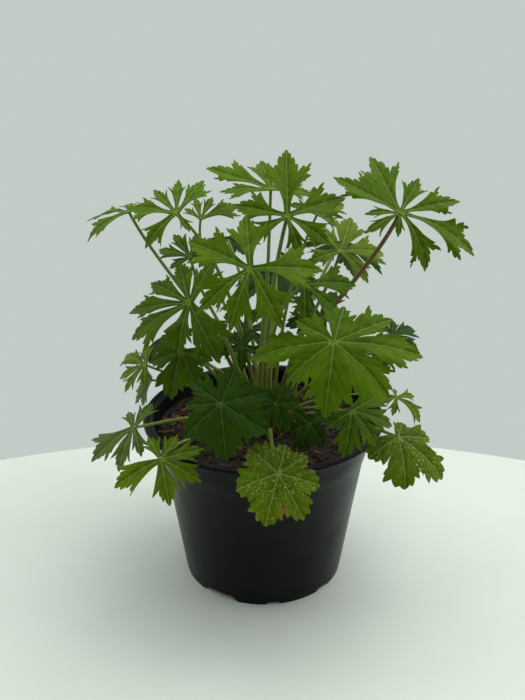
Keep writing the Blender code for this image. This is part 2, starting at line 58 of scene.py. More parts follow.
# A lobe shorter than the first has one tooth less on each side; one past the second grows no wider
SHORT_LOBE = 36.0
LONG_LOBE = 50.0
# Share of the room up to the next lobe that teeth and notches may fill
TOOTH_ROOM = 0.94
NOTCH_ROOM = 0.80

# Leaves in the dark middle: lobes this many degrees apart, all bent down alike
FAN_LOBES = 5
FAN_FIRST = -165
FAN_STEP = 75
FAN_BEND = 20
INNER_LEAN = 40

# The Mix node in colour mode has its factor, first and second colour at these inputs
FACTOR, FIRST, SECOND, MIXED = 0, 6, 7, 2


# Colours and shader nodes

def linear(code: str) -> tuple[float, float, float, float]:
    """Turn an sRGB hex colour into linear light.

    Args:
        code: six hex digits after a hash sign.

    Returns:
        Red, green, blue and alpha 1.
    """
    shares = [int(code[k:k + 2], 16) / 255.0 for k in (1, 3, 5)]
    light = [s / 12.92 if s <= 0.04045 else ((s + 0.055) / 1.055) ** 2.4 for s in shares]
    return (light[0], light[1], light[2], 1.0)


def add_node(tree: bpy.types.NodeTree, kind: str, settings: dict | None = None,
             links: dict | None = None) -> bpy.types.Node:
    """Add one node to a tree.

    Args:
        tree: where the node goes.
        kind: the node's type name.
        settings: properties by name, and unlinked inputs by name or number.
        links: sockets that feed the node's inputs, by input name or number.

    Returns:
        The new node.
    """
    node = tree.nodes.new(kind)
    for key, value in (settings or {}).items():
        if isinstance(key, int) or key in node.inputs:
            node.inputs[key].default_value = value
        else:
            setattr(node, key, value)
    for key, socket in (links or {}).items():
        tree.links.new(socket, node.inputs[key])
    return node


def new_finish(name: str, roughness: float, ior: float) -> tuple[bpy.types.Material, bpy.types.NodeTree,
                                                               bpy.types.Node]:
    """Start a material from one Principled shader.

    Args:
        name: the material's name.
        roughness: typical roughness of the real surface.
        ior: index of refraction of the real surface.

    Returns:
        The material, its node tree and its shader.
    """
    material = bpy.data.materials.new(name)
    material.use_nodes = True
    tree = material.node_tree
    shader = tree.nodes["Principled BSDF"]
    shader.inputs["Roughness"].default_value = roughness
    shader.inputs["IOR"].default_value = ior
    return material, tree, shader


# Finishes

@dataclass(frozen=True)
class LeafSkin:
    """One face of a living delphinium blade: soft, finely haired tissue grown round a net of veins.

    The wax and short hairs make a broad satin sheen; veins show as paler lines, and the tissue
    between the smallest veins swells a little.
    """

    name: str
    body: str
    pale: str
    vein: str
    # Darker colour for the painted shade in the folds beside the main ribs, and for the net of smallest veins
    shade: str
    # Colour painted towards the lobe tips as painted light, for light shining through them
    tip: str
    roughness: float = 0.46
    gloss: float = 0.08
    vein_show: float = 0.20
    speckle: float = 0.0
    speck: str = "#c9cf86"
    rust: float = 0.0
    net_cell: float = 2.3
    hair_sheen: float = 0.0

    def material(self) -> bpy.types.Material:
        """Build the node material.

        Returns:
            The finished material.
        """
        material, tree, shader = new_finish(self.name, self.roughness, 1.42)
        shader.inputs["Specular IOR Level"].default_value = self.gloss
        shader.inputs["Sheen Weight"].default_value = self.hair_sheen
        shader.inputs["Sheen Roughness"].default_value = 0.45
        shader.inputs["Sheen Tint"].default_value = linear("#dfe8cf")
        shader.inputs["Subsurface Weight"].default_value = 0.30
        shader.inputs["Subsurface Radius"].default_value = (0.6, 0.9, 0.15)
        shader.inputs["Subsurface Scale"].default_value = 0.7 * MM
        plane = add_node(tree, "ShaderNodeAttribute", {"attribute_name": "plane"})
        vein = add_node(tree, "ShaderNodeAttribute", {"attribute_name": "vein"})
        rib = add_node(tree, "ShaderNodeAttribute", {"attribute_name": "rib"})
        rim = add_node(tree, "ShaderNodeAttribute", {"attribute_name": "rim"})
        place = add_node(tree, "ShaderNodeTexCoord")
        # Clouds of tone about 14 mm across
        cloud = add_node(tree, "ShaderNodeTexNoise", {"Scale": 1.0 / (14.0 * MM), "Detail": 3.0},
                         {"Vector": place.outputs["Object"]})
        clouded = add_node(tree, "ShaderNodeMapRange", {"From Min": 0.35, "From Max": 0.68},
                           {"Value": cloud.outputs["Fac"]})
        body = add_node(tree, "ShaderNodeMix", {"data_type": "RGBA", FIRST: linear(self.body),
                                                SECOND: linear(self.pale)},
                        {FACTOR: clouded.outputs["Result"]})
        # Painted light: lobes are painted yellower towards their tips, for light that shines through them
        tip = add_node(tree, "ShaderNodeAttribute", {"attribute_name": "tip"})
        tip_painted_light = add_node(tree, "ShaderNodeMapRange", {"interpolation_type": "SMOOTHSTEP",
                                                       "From Min": 0.25, "From Max": 1.0,
                                                       "To Max": 0.75},
                          {"Value": tip.outputs["Fac"]})
        body = add_node(tree, "ShaderNodeMix", {"data_type": "RGBA", SECOND: linear(self.tip)},
                        {FACTOR: tip_painted_light.outputs["Result"], FIRST: body.outputs[MIXED]})
        # Painted shade: darker in the fold on both sides of a main rib, where shade falls
        fold = add_node(tree, "ShaderNodeMapRange", {"interpolation_type": "SMOOTHSTEP",
                                                     "From Min": 0.4, "From Max": 3.2,
                                                     "To Min": 0.55, "To Max": 0.0},
                        {"Value": rib.outputs["Fac"]})
        body = add_node(tree, "ShaderNodeMix", {"data_type": "RGBA", SECOND: linear(self.shade)},
                        {FACTOR: fold.outputs["Result"], FIRST: body.outputs[MIXED]})
        # The smallest veins are a quarter of a millimetre apart in life; drawn coarser to show
        net = add_node(tree, "ShaderNodeTexVoronoi", {"feature": "DISTANCE_TO_EDGE",
                                                      "Scale": 1.0 / self.net_cell},
                       {"Vector": plane.outputs["Vector"]})
        netted = add_node(tree, "ShaderNodeMapRange", {"From Min": 0.0, "From Max": 0.22,
                                                       "To Min": 0.22, "To Max": 0.0},
                          {"Value": net.outputs["Distance"]})
        shaded = add_node(tree, "ShaderNodeMix", {"data_type": "RGBA", SECOND: linear(self.shade)},
                          {FACTOR: netted.outputs["Result"], FIRST: body.outputs[MIXED]})
        # Side veins: lines about 0.5 mm wide
        line = add_node(tree, "ShaderNodeMapRange", {"From Min": 0.10, "From Max": 0.50,
                                                     "To Min": self.vein_show, "To Max": 0.0},
                        {"Value": vein.outputs["Fac"]})
        lined = add_node(tree, "ShaderNodeMix", {"data_type": "RGBA", SECOND: linear(self.vein)},
                         {FACTOR: line.outputs["Result"], FIRST: shaded.outputs[MIXED]})
        # Main ribs: wider, brightest where they meet at the stalk
        mid = add_node(tree, "ShaderNodeMapRange", {"From Min": 0.15, "From Max": 0.75,
                                                    "To Min": min(1.0, self.vein_show * 2.2),
                                                    "To Max": 0.0},
                       {"Value": rib.outputs["Fac"]})
        ribbed = add_node(tree, "ShaderNodeMix", {"data_type": "RGBA", SECOND: linear(self.vein)},
                          {FACTOR: mid.outputs["Result"], FIRST: lined.outputs[MIXED]})
        # A paler line along the cut edge of the blade
        edge = add_node(tree, "ShaderNodeMapRange", {"From Min": 0.0, "From Max": 0.8,
                                                     "To Min": 0.25, "To Max": 0.0},
                        {"Value": rim.outputs["Fac"]})
        colour = add_node(tree, "ShaderNodeMix", {"data_type": "RGBA", SECOND: linear(self.pale)},
                          {FACTOR: edge.outputs["Result"], FIRST: ribbed.outputs[MIXED]})
        if self.speckle > 0.0:
            colour = self.add_speckle(tree, plane, colour)
        if self.rust > 0.0:
            colour = self.add_rust(tree, plane, rim, colour)
        tree.links.new(colour.outputs[MIXED], shader.inputs["Base Color"])
        gloss = add_node(tree, "ShaderNodeMapRange", {"To Min": self.roughness - 0.07,
                                                      "To Max": self.roughness + 0.09},
                         {"Value": cloud.outputs["Fac"]})
        tree.links.new(gloss.outputs["Result"], shader.inputs["Roughness"])
        # Hairs and cells: a fine grain, real size about 0.1 mm, drawn at 0.45 mm to show
        grain = add_node(tree, "ShaderNodeTexNoise", {"Scale": 1.0 / 0.45, "Detail": 2.0},
                         {"Vector": plane.outputs["Vector"]})
        swell = add_node(tree, "ShaderNodeMapRange", {"From Min": 0.0, "From Max": 0.35},
                         {"Value": net.outputs["Distance"]})
        relief = add_node(tree, "ShaderNodeMath", {"operation": "MULTIPLY_ADD", 1: 0.35},
                          {0: grain.outputs["Fac"], 2: swell.outputs["Result"]})
        bump = add_node(tree, "ShaderNodeBump", {"Strength": 0.35, "Distance": 0.16 * MM},
                        {"Height": relief.outputs["Value"]})
        tree.links.new(bump.outputs["Normal"], shader.inputs["Normal"])
        return material

    def add_speckle(self, tree: bpy.types.NodeTree, plane: bpy.types.Node,
                    colour: bpy.types.Node) -> bpy.types.Node:
        """Add pale feeding specks about 1 mm across, in drifts, as an old leaf has.

        Args:
            tree: the material's nodes.
            plane: the attribute that holds the flat blade's coordinates.
            colour: the Mix node that gives the colour so far.

        Returns:
            The Mix node that gives the new colour.
        """
        specks = add_node(tree, "ShaderNodeTexNoise", {"Scale": 1.0 / 1.5, "Detail": 2.0},
                          {"Vector": plane.outputs["Vector"]})
        drift = add_node(tree, "ShaderNodeTexNoise", {"Scale": 1.0 / 11.0},
                         {"Vector": plane.outputs["Vector"]})
        dots = add_node(tree, "ShaderNodeMapRange", {"From Min": 0.57, "From Max": 0.67},
                        {"Value": specks.outputs["Fac"]})
        where = add_node(tree, "ShaderNodeMapRange", {"From Min": 0.38, "From Max": 0.62,
                                                      "To Max": self.speckle},
                         {"Value": drift.outputs["Fac"]})
        both = add_node(tree, "ShaderNodeMath", {"operation": "MULTIPLY"},
                        {0: dots.outputs["Result"], 1: where.outputs["Result"]})
        return add_node(tree, "ShaderNodeMix", {"data_type": "RGBA", SECOND: linear(self.speck)},
                        {FACTOR: both.outputs["Value"], FIRST: colour.outputs[MIXED]})

    def add_rust(self, tree: bpy.types.NodeTree, plane: bpy.types.Node, rim: bpy.types.Node,
                 colour: bpy.types.Node) -> bpy.types.Node:
        """Add brown dying patches that creep in from the edge.

        Args:
            tree: the material's nodes.
            plane: the attribute that holds the flat blade's coordinates.
            rim: the attribute that holds the distance from the edge.
            colour: the Mix node that gives the colour so far.

        Returns:
            The Mix node that gives the new colour.
        """
        patch = add_node(tree, "ShaderNodeTexNoise", {"Scale": 1.0 / 9.0, "Detail": 4.0},
                         {"Vector": plane.outputs["Vector"]})
        depth = add_node(tree, "ShaderNodeMath", {"operation": "MULTIPLY_ADD", 1: -0.035},
                         {0: rim.outputs["Fac"], 2: patch.outputs["Fac"]})
        where = add_node(tree, "ShaderNodeMapRange", {"From Min": 0.53, "From Max": 0.62,
                                                      "To Max": self.rust},
                         {"Value": depth.outputs["Value"]})
        return add_node(tree, "ShaderNodeMix", {"data_type": "RGBA", SECOND: linear("#7d6128")},
                        {FACTOR: where.outputs["Result"], FIRST: colour.outputs[MIXED]})


@dataclass(frozen=True)
class StalkSkin:
    """Green leaf stalk: smooth, faintly ridged along its length, often red towards the top."""

    name: str
    foot: str = "#8a8f47"
    top: str = "#6f7f2e"
    roughness: float = 0.46

    def material(self) -> bpy.types.Material:
        """Build the node material.

        Returns:
            The finished material.
        """
        material, tree, shader = new_finish(self.name, self.roughness, 1.42)
        climb = add_node(tree, "ShaderNodeAttribute", {"attribute_name": "climb"})
        place = add_node(tree, "ShaderNodeTexCoord")
        blotch = add_node(tree, "ShaderNodeTexNoise", {"Scale": 1.0 / (6.0 * MM), "Detail": 3.0},
                          {"Vector": place.outputs["Object"]})
        sway = add_node(tree, "ShaderNodeMath", {"operation": "MULTIPLY_ADD", 1: 0.5, 2: -0.25},
                        {0: blotch.outputs["Fac"]})
        share = add_node(tree, "ShaderNodeMath", {"operation": "ADD", "use_clamp": True},
                         {0: climb.outputs["Fac"], 1: sway.outputs["Value"]})
        colour = add_node(tree, "ShaderNodeMix", {"data_type": "RGBA", FIRST: linear(self.foot),
                                                  SECOND: linear(self.top)},
                          {FACTOR: share.outputs["Value"]})
        tree.links.new(colour.outputs[MIXED], shader.inputs["Base Color"])
        # Ridges 0.4 mm apart, drawn as stretched noise
        stretch = add_node(tree, "ShaderNodeMapping", {"Scale": (2500.0, 2500.0, 120.0)},
                           {"Vector": place.outputs["Object"]})
        ridge = add_node(tree, "ShaderNodeTexNoise", {"Scale": 1.0}, {"Vector": stretch.outputs["Vector"]})
        bump = add_node(tree, "ShaderNodeBump", {"Strength": 0.3, "Distance": 0.1 * MM},
                        {"Height": ridge.outputs["Fac"]})
        tree.links.new(bump.outputs["Normal"], shader.inputs["Normal"])
        return material


@dataclass(frozen=True)
class StalkHair:
    """Short pale hairs on the stalks: clear cells full of air, so they look white-green."""

    name: str = "short pale stalk hair"
    tip: str = "#d4dcc0"
    root: str = "#a4b070"

    def material(self) -> bpy.types.Material:
        """Build the node material.

        Returns:
            The finished material.
        """
        material, tree, shader = new_finish(self.name, 0.6, 1.45)
        place = add_node(tree, "ShaderNodeTexCoord")
        tone = add_node(tree, "ShaderNodeTexNoise", {"Scale": 1.0 / (2.0 * MM)},
                        {"Vector": place.outputs["Object"]})
        colour = add_node(tree, "ShaderNodeMix", {"data_type": "RGBA", FIRST: linear(self.root),
                                                  SECOND: linear(self.tip)},
                          {FACTOR: tone.outputs["Fac"]})
        tree.links.new(colour.outputs[MIXED], shader.inputs["Base Color"])
        return material


@dataclass(frozen=True)
class BlackPolypropylene:
    """Injection-moulded recycled polypropylene: soft black, satin, with flow marks and handling dust."""

    name: str = "black moulded polypropylene"
    body: str = "#0a0d0d"
    worn: str = "#101414"
    dust: str = "#4a4840"
    roughness: float = 0.30
    gloss: float = 0.12

    def material(self) -> bpy.types.Material:
        """Build the node material.

        Returns:
            The finished material.
        """
        material, tree, shader = new_finish(self.name, self.roughness, 1.49)
        shader.inputs["Specular IOR Level"].default_value = self.gloss
        place = add_node(tree, "ShaderNodeTexCoord")
        # Cloudy wear about 25 mm across
        cloud = add_node(tree, "ShaderNodeTexNoise", {"Scale": 1.0 / (25.0 * MM), "Detail": 5.0,
                                                      "Roughness": 0.6},
                         {"Vector": place.outputs["Object"]})
        worn = add_node(tree, "ShaderNodeMapRange", {"From Min": 0.42, "From Max": 0.72},
                        {"Value": cloud.outputs["Fac"]})
        body = add_node(tree, "ShaderNodeMix", {"data_type": "RGBA", FIRST: linear(self.body),
                                                SECOND: linear(self.worn)},
                        {FACTOR: worn.outputs["Result"]})
        # Soil dust lies in small specks, thickest just above the foot
        height = add_node(tree, "ShaderNodeSeparateXYZ", {}, {"Vector": place.outputs["Object"]})
        low = add_node(tree, "ShaderNodeMapRange", {"From Min": 0.0, "From Max": 0.030,
                                                    "To Min": 0.10, "To Max": 0.02},
                       {"Value": height.outputs["Z"]})
        fleck = add_node(tree, "ShaderNodeTexNoise", {"Scale": 1.0 / (1.6 * MM), "Detail": 4.0},
                         {"Vector": place.outputs["Object"]})
        flecked = add_node(tree, "ShaderNodeMapRange", {"From Min": 0.54, "From Max": 0.70},
                           {"Value": fleck.outputs["Fac"]})
        dusty = add_node(tree, "ShaderNodeMath", {"operation": "MULTIPLY"},
                         {0: low.outputs["Result"], 1: flecked.outputs["Result"]})
        colour = add_node(tree, "ShaderNodeMix", {"data_type": "RGBA", SECOND: linear(self.dust)},
                          {FACTOR: dusty.outputs["Value"], FIRST: body.outputs[MIXED]})
        tree.links.new(colour.outputs[MIXED], shader.inputs["Base Color"])
        gloss = add_node(tree, "ShaderNodeMapRange", {"To Min": self.roughness - 0.08,
                                                      "To Max": self.roughness + 0.16},
                         {"Value": cloud.outputs["Fac"]})
        tree.links.new(gloss.outputs["Result"], shader.inputs["Roughness"])
        # Moulding grain about 0.5 mm, and slow waves in the thin wall about 30 mm long
        grain = add_node(tree, "ShaderNodeTexNoise", {"Scale": 1.0 / (0.5 * MM)},
                         {"Vector": place.outputs["Object"]})
        wave = add_node(tree, "ShaderNodeTexNoise", {"Scale": 1.0 / (30.0 * MM), "Detail": 1.0},
                        {"Vector": place.outputs["Object"]})
        relief = add_node(tree, "ShaderNodeMath", {"operation": "MULTIPLY_ADD", 1: 40.0},
                          {0: wave.outputs["Fac"], 2: grain.outputs["Fac"]})
        bump = add_node(tree, "ShaderNodeBump", {"Strength": 0.25, "Distance": 0.05 * MM},
                        {"Height": relief.outputs["Value"]})
        tree.links.new(bump.outputs["Normal"], shader.inputs["Normal"])
        return material


@dataclass(frozen=True)
class DampCompost:
    """Peat compost, watered: near black crumbs with a dull wet glint, browner where it dries."""

    name: str = "damp peat compost"
    wet: str = "#1a120c"
    dry: str = "#3a2818"
    roughness: float = 0.82

    def material(self) -> bpy.types.Material:
        """Build the node material.

        Returns:
            The finished material.
        """
        material, tree, shader = new_finish(self.name, self.roughness, 1.40)
        place = add_node(tree, "ShaderNodeTexCoord")
        crumb = add_node(tree, "ShaderNodeTexNoise", {"Scale": 1.0 / (1.8 * MM), "Detail": 5.0,
                                                      "Roughness": 0.65},
                         {"Vector": place.outputs["Object"]})
        dry = add_node(tree, "ShaderNodeMapRange", {"From Min": 0.45, "From Max": 0.70},
                       {"Value": crumb.outputs["Fac"]})
        colour = add_node(tree, "ShaderNodeMix", {"data_type": "RGBA", FIRST: linear(self.wet),
                                                  SECOND: linear(self.dry)},
                          {FACTOR: dry.outputs["Result"]})
        tree.links.new(colour.outputs[MIXED], shader.inputs["Base Color"])
        gloss = add_node(tree, "ShaderNodeMapRange", {"To Min": 0.55, "To Max": 1.0},
                         {"Value": crumb.outputs["Fac"]})
        tree.links.new(gloss.outputs["Result"], shader.inputs["Roughness"])
        bump = add_node(tree, "ShaderNodeBump", {"Strength": 0.8, "Distance": 0.5 * MM},
                        {"Height": crumb.outputs["Fac"]})
        tree.links.new(bump.outputs["Normal"], shader.inputs["Normal"])
        return material


@dataclass(frozen=True)
class PineBark:
    """Fine pine bark in the compost: split flakes, red-brown inside and dark outside."""

    name: str = "fine pine bark"
    dark: str = "#23160d"
    red: str = "#7a4a22"
    pale: str = "#9a6a38"
    roughness: float = 0.75

    def material(self) -> bpy.types.Material:
        """Build the node material.

        Returns:
            The finished material.
        """
        material, tree, shader = new_finish(self.name, self.roughness, 1.45)
        tone = add_node(tree, "ShaderNodeAttribute", {"attribute_name": "tone"})
        place = add_node(tree, "ShaderNodeTexCoord")
        fibre = add_node(tree, "ShaderNodeTexNoise", {"Scale": 1.0 / (0.9 * MM), "Detail": 3.0},
                         {"Vector": place.outputs["Object"]})
        red = add_node(tree, "ShaderNodeMapRange", {"From Min": 0.45, "From Max": 0.95},
                       {"Value": tone.outputs["Fac"]})
        body = add_node(tree, "ShaderNodeMix", {"data_type": "RGBA", FIRST: linear(self.dark),
                                                SECOND: linear(self.red)},
                        {FACTOR: red.outputs["Result"]})
        streak = add_node(tree, "ShaderNodeMapRange", {"From Min": 0.5, "From Max": 0.75},
                          {"Value": fibre.outputs["Fac"]})
        lit = add_node(tree, "ShaderNodeMath", {"operation": "MULTIPLY"},
                       {0: streak.outputs["Result"], 1: red.outputs["Result"]})
        colour = add_node(tree, "ShaderNodeMix", {"data_type": "RGBA", SECOND: linear(self.pale)},
                          {FACTOR: lit.outputs["Value"], FIRST: body.outputs[MIXED]})
        tree.links.new(colour.outputs[MIXED], shader.inputs["Base Color"])
        bump = add_node(tree, "ShaderNodeBump", {"Strength": 0.7, "Distance": 0.3 * MM},
                        {"Height": fibre.outputs["Fac"]})
        tree.links.new(bump.outputs["Normal"], shader.inputs["Normal"])
        return material


@dataclass(frozen=True)
class MattBoard:
    """Painted board of the table: flat, even and pale, with a very soft cloud of wear."""

    name: str
    body: str
    roughness: float = 0.6

    def material(self) -> bpy.types.Material:
        """Build the node material.

        Returns:
            The finished material.
        """
        material, tree, shader = new_finish(self.name, self.roughness, 1.45)
        place = add_node(tree, "ShaderNodeTexCoord")
        cloud = add_node(tree, "ShaderNodeTexNoise", {"Scale": 5.0, "Detail": 3.0},
                         {"Vector": place.outputs["Object"]})
        worn = add_node(tree, "ShaderNodeMapRange", {"From Min": 0.4, "From Max": 0.7, "To Max": 0.35},
                        {"Value": cloud.outputs["Fac"]})
        colour = add_node(tree, "ShaderNodeMix", {"data_type": "RGBA", FIRST: linear(self.body),
                                                  SECOND: linear("#c9cbc3")},
                          {FACTOR: worn.outputs["Result"]})
        tree.links.new(colour.outputs[MIXED], shader.inputs["Base Color"])
        return material


class Green(Enum):
    """The greens that the leaves of one plant pass through, each an upper and a lower skin; the middling and deep
    greens are also darkened as painted shade, for leaves that sit in the shade of others.
    """

    FRESH = (LeafSkin("fresh blade, upper", "#466103", "#547207", "#7f9638", "#314a04", "#607c04"),
             LeafSkin("fresh blade, lower", "#4c6834", "#58753c", "#74895a", "#3c562a", "#58753c",
                      roughness=0.60, vein_show=0.45))
    YOUNG = (LeafSkin("young blade, upper", "#4e6303", "#5e7508", "#869a3c", "#3b4f03", "#6a7f06"),
             LeafSkin("young blade, lower", "#566c34", "#637a40", "#7f925a", "#465c2a", "#637a40",
                      roughness=0.60, vein_show=0.45))
    # Partly a deeper green of its own, partly darkened as painted shade for leaves shaded by others
    MIDDLE = (LeafSkin("middling blade with painted shade, upper", "#3a5403", "#476406", "#6f8832", "#294003", "#506a04"),
              LeafSkin("middling blade with painted shade, lower", "#425e30", "#4e6a38", "#6a8052", "#344c26", "#4e6a38",
                       roughness=0.60, vein_show=0.45))
    # A deeper green, darkened further as painted shade for leaves in the shaded middle, back and front
    DEEP = (LeafSkin("deep green blade with painted shade, upper", "#243e04", "#2d4a08", "#4c6a2a", "#182e03", "#304c06"),
            LeafSkin("deep green blade with painted shade, lower", "#36502a", "#405c32", "#5a7248", "#2a4220", "#405c32",
                     roughness=0.60, vein_show=0.45))
    OLD = (LeafSkin("old blade, upper", "#485e04", "#577008", "#8c9c48", "#364a03", "#607608",
                    speckle=0.50, rust=0.7),
           LeafSkin("old blade, lower", "#566836", "#637642", "#808e5c", "#46582c", "#637642",
                    roughness=0.60, vein_show=0.45, rust=0.5))
    GREY = (LeafSkin("grey-green blade, upper", "#4a5e1a", "#566c26", "#7c9050", "#394c12", "#566c20",
                     gloss=0.2),
            LeafSkin("grey-green blade, lower", "#567044", "#627c50", "#7e9270", "#475f38", "#627c50",
                     roughness=0.60, vein_show=0.45))


class Stem(Enum):
    """Colours of the leaf stalks."""

    OLIVE = StalkSkin("olive leaf stalk", "#7c8436", "#647a1c")
    RED = StalkSkin("reddened leaf stalk", "#766a2c", "#64481e")
    PALE = StalkSkin("pale leaf stalk", "#8c9452", "#7c8c3c")


# Mesh tools

def make_active(obj: bpy.types.Object) -> None:
    """Deselect everything, then select this object alone and make it active."""
    bpy.ops.object.select_all(action="DESELECT")
    obj.select_set(True)
    bpy.context.view_layer.objects.active = obj


def points_of(obj: bpy.types.Object) -> np.ndarray:
    """Read an object's vertices.

    Args:
        obj: a mesh object at the origin.

    Returns:
        One row of three metres for each vertex.
    """
    flat = np.zeros(len(obj.data.vertices) * 3)
    obj.data.vertices.foreach_get("co", flat)
    return flat.reshape(-1, 3)


def set_points(obj: bpy.types.Object, points: np.ndarray) -> None:
    """Write an object's vertices back."""
    obj.data.vertices.foreach_set("co", np.asarray(points, dtype=float).ravel())
    obj.data.update()


def select_points(obj: bpy.types.Object, chosen: np.ndarray) -> None:
    """Open the object in edit mode with only the chosen vertices selected.

    Args:
        obj: a mesh object.
        chosen: one truth value for each vertex.
    """
    make_active(obj)
    bpy.ops.object.mode_set(mode="EDIT")
    bpy.ops.mesh.select_mode(type="VERT")
    bpy.ops.mesh.select_all(action="DESELECT")
    bpy.ops.object.mode_set(mode="OBJECT")
    obj.data.vertices.foreach_set("select", np.asarray(chosen, dtype=bool))
    bpy.ops.object.mode_set(mode="EDIT")


def add_mesh(name: str, points: np.ndarray, faces: Iterable[Sequence[int]]) -> bpy.types.Object:
    """Make an object from metre points.

    Args:
        name: the object's name.
        points: one row for each vertex.
        faces: vertex numbers of each face.

    Returns:
        The new object.
    """
    mesh = bpy.data.meshes.new(name)
    mesh.from_pydata(np.asarray(points, dtype=float).tolist(), [], list(faces))
    obj = bpy.data.objects.new(name, mesh)
    bpy.context.scene.collection.objects.link(obj)
    return obj


def add_field(obj: bpy.types.Object, name: str, values: np.ndarray) -> None:
    """Store a number or a vector at every vertex, for a material to read.

    Args:
        obj: a mesh object.
        name: the attribute's name.
        values: one number, or one row of three, for each vertex.
    """
    kind, slot = ("FLOAT", "value") if values.ndim == 1 else ("FLOAT_VECTOR", "vector")
    attribute = obj.data.attributes.new(name, kind, "POINT")
    attribute.data.foreach_set(slot, values.astype(np.float32).ravel())


def apply_modifier(obj: bpy.types.Object, kind: str, settings: dict) -> None:
    """Add a modifier with these settings and apply it.

    Args:
        obj: a mesh object.
        kind: the modifier's type.
        settings: its properties by name.
    """
    make_active(obj)
    modifier = obj.modifiers.new(kind.lower(), kind)
    for key, value in settings.items():
        setattr(modifier, key, value)
    bpy.ops.object.modifier_apply(modifier=modifier.name)


def settle(obj: bpy.types.Object) -> None:
    """Put an object's place, turn and size into its mesh."""
    make_active(obj)
    bpy.ops.object.transform_apply(location=True, rotation=True, scale=True)


def join(pieces: Sequence[bpy.types.Object], name: str) -> bpy.types.Object:
    """Join mesh objects into the first of them.

    Args:
        pieces: the objects.
        name: the name of the joined piece.

    Returns:
        The joined object.
    """
    make_active(pieces[0])
    for piece in pieces[1:]:
        piece.select_set(True)
    bpy.ops.object.join()
    pieces[0].name = name
    pieces[0].data.name = name
    return pieces[0]


def dress(obj: bpy.types.Object, materials: Sequence[bpy.types.Material]) -> None:
    """Give an object these materials in place of its own."""
    obj.data.materials.clear()
    for material in materials:
        obj.data.materials.append(material)


def stand_in(piece: bpy.types.Object, node: str) -> None:
    """Let a piece ride on the part in place of a CAD node.

    Args:
        piece: the finished piece.
        node: the CAD node that it stands for.
    """
    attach(piece, "root")
    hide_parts(node)


# Leaves

@dataclass(frozen=True)
class LeafPlan:
    """Where a leaf stands and how its blade is cut. Angles are degrees.

    at: where the stalk meets the blade.
    lean, toward: how far the blade's face tips from straight up, and to which side.
    lobes: direction round the blade, length and how far the tip bends down, for each lobe.
    foot: where the stalk stands in the soil.
    cut: how near the centre the gaps between lobes begin (1 is at the tips).
    age: 0 for narrow sharp lobes, 1 for broad shallow ones.
    stalk: radius of the stalk at its foot.
    plain: fewer teeth, for a leaf hidden behind others.
    """

    name: str
    at: tuple[float, float, float]
    lean: float
    toward: float
    lobes: tuple[tuple[float, float, float], ...]
    foot: tuple[float, float]
    cut: float = 0.14
    age: float = 0.2
    stalk: float = 1.6
    green: Green = Green.FRESH
    stem: Stem = Stem.OLIVE
    plain: bool = False


def inner_leaf(name: str, at: tuple[int, int, int], size: int, foot: tuple[int, int]) -> LeafPlan:
    """Plan a leaf in the dark middle of the plant: even lobes in a fan, its face to the viewer.

    Args:
        name: the CAD node.
        at: where the stalk meets the blade.
        size: length of every lobe.
        foot: where the stalk stands in the soil.

    Returns:
        The plan.
    """
    lobes = tuple((FAN_FIRST + FAN_STEP * k, size, FAN_BEND) for k in range(FAN_LOBES))
    return LeafPlan(name, at, INNER_LEAN, -90, lobes, foot, cut=0.25, age=0.3, stalk=1.3,
                    green=Green.DEEP, plain=True)


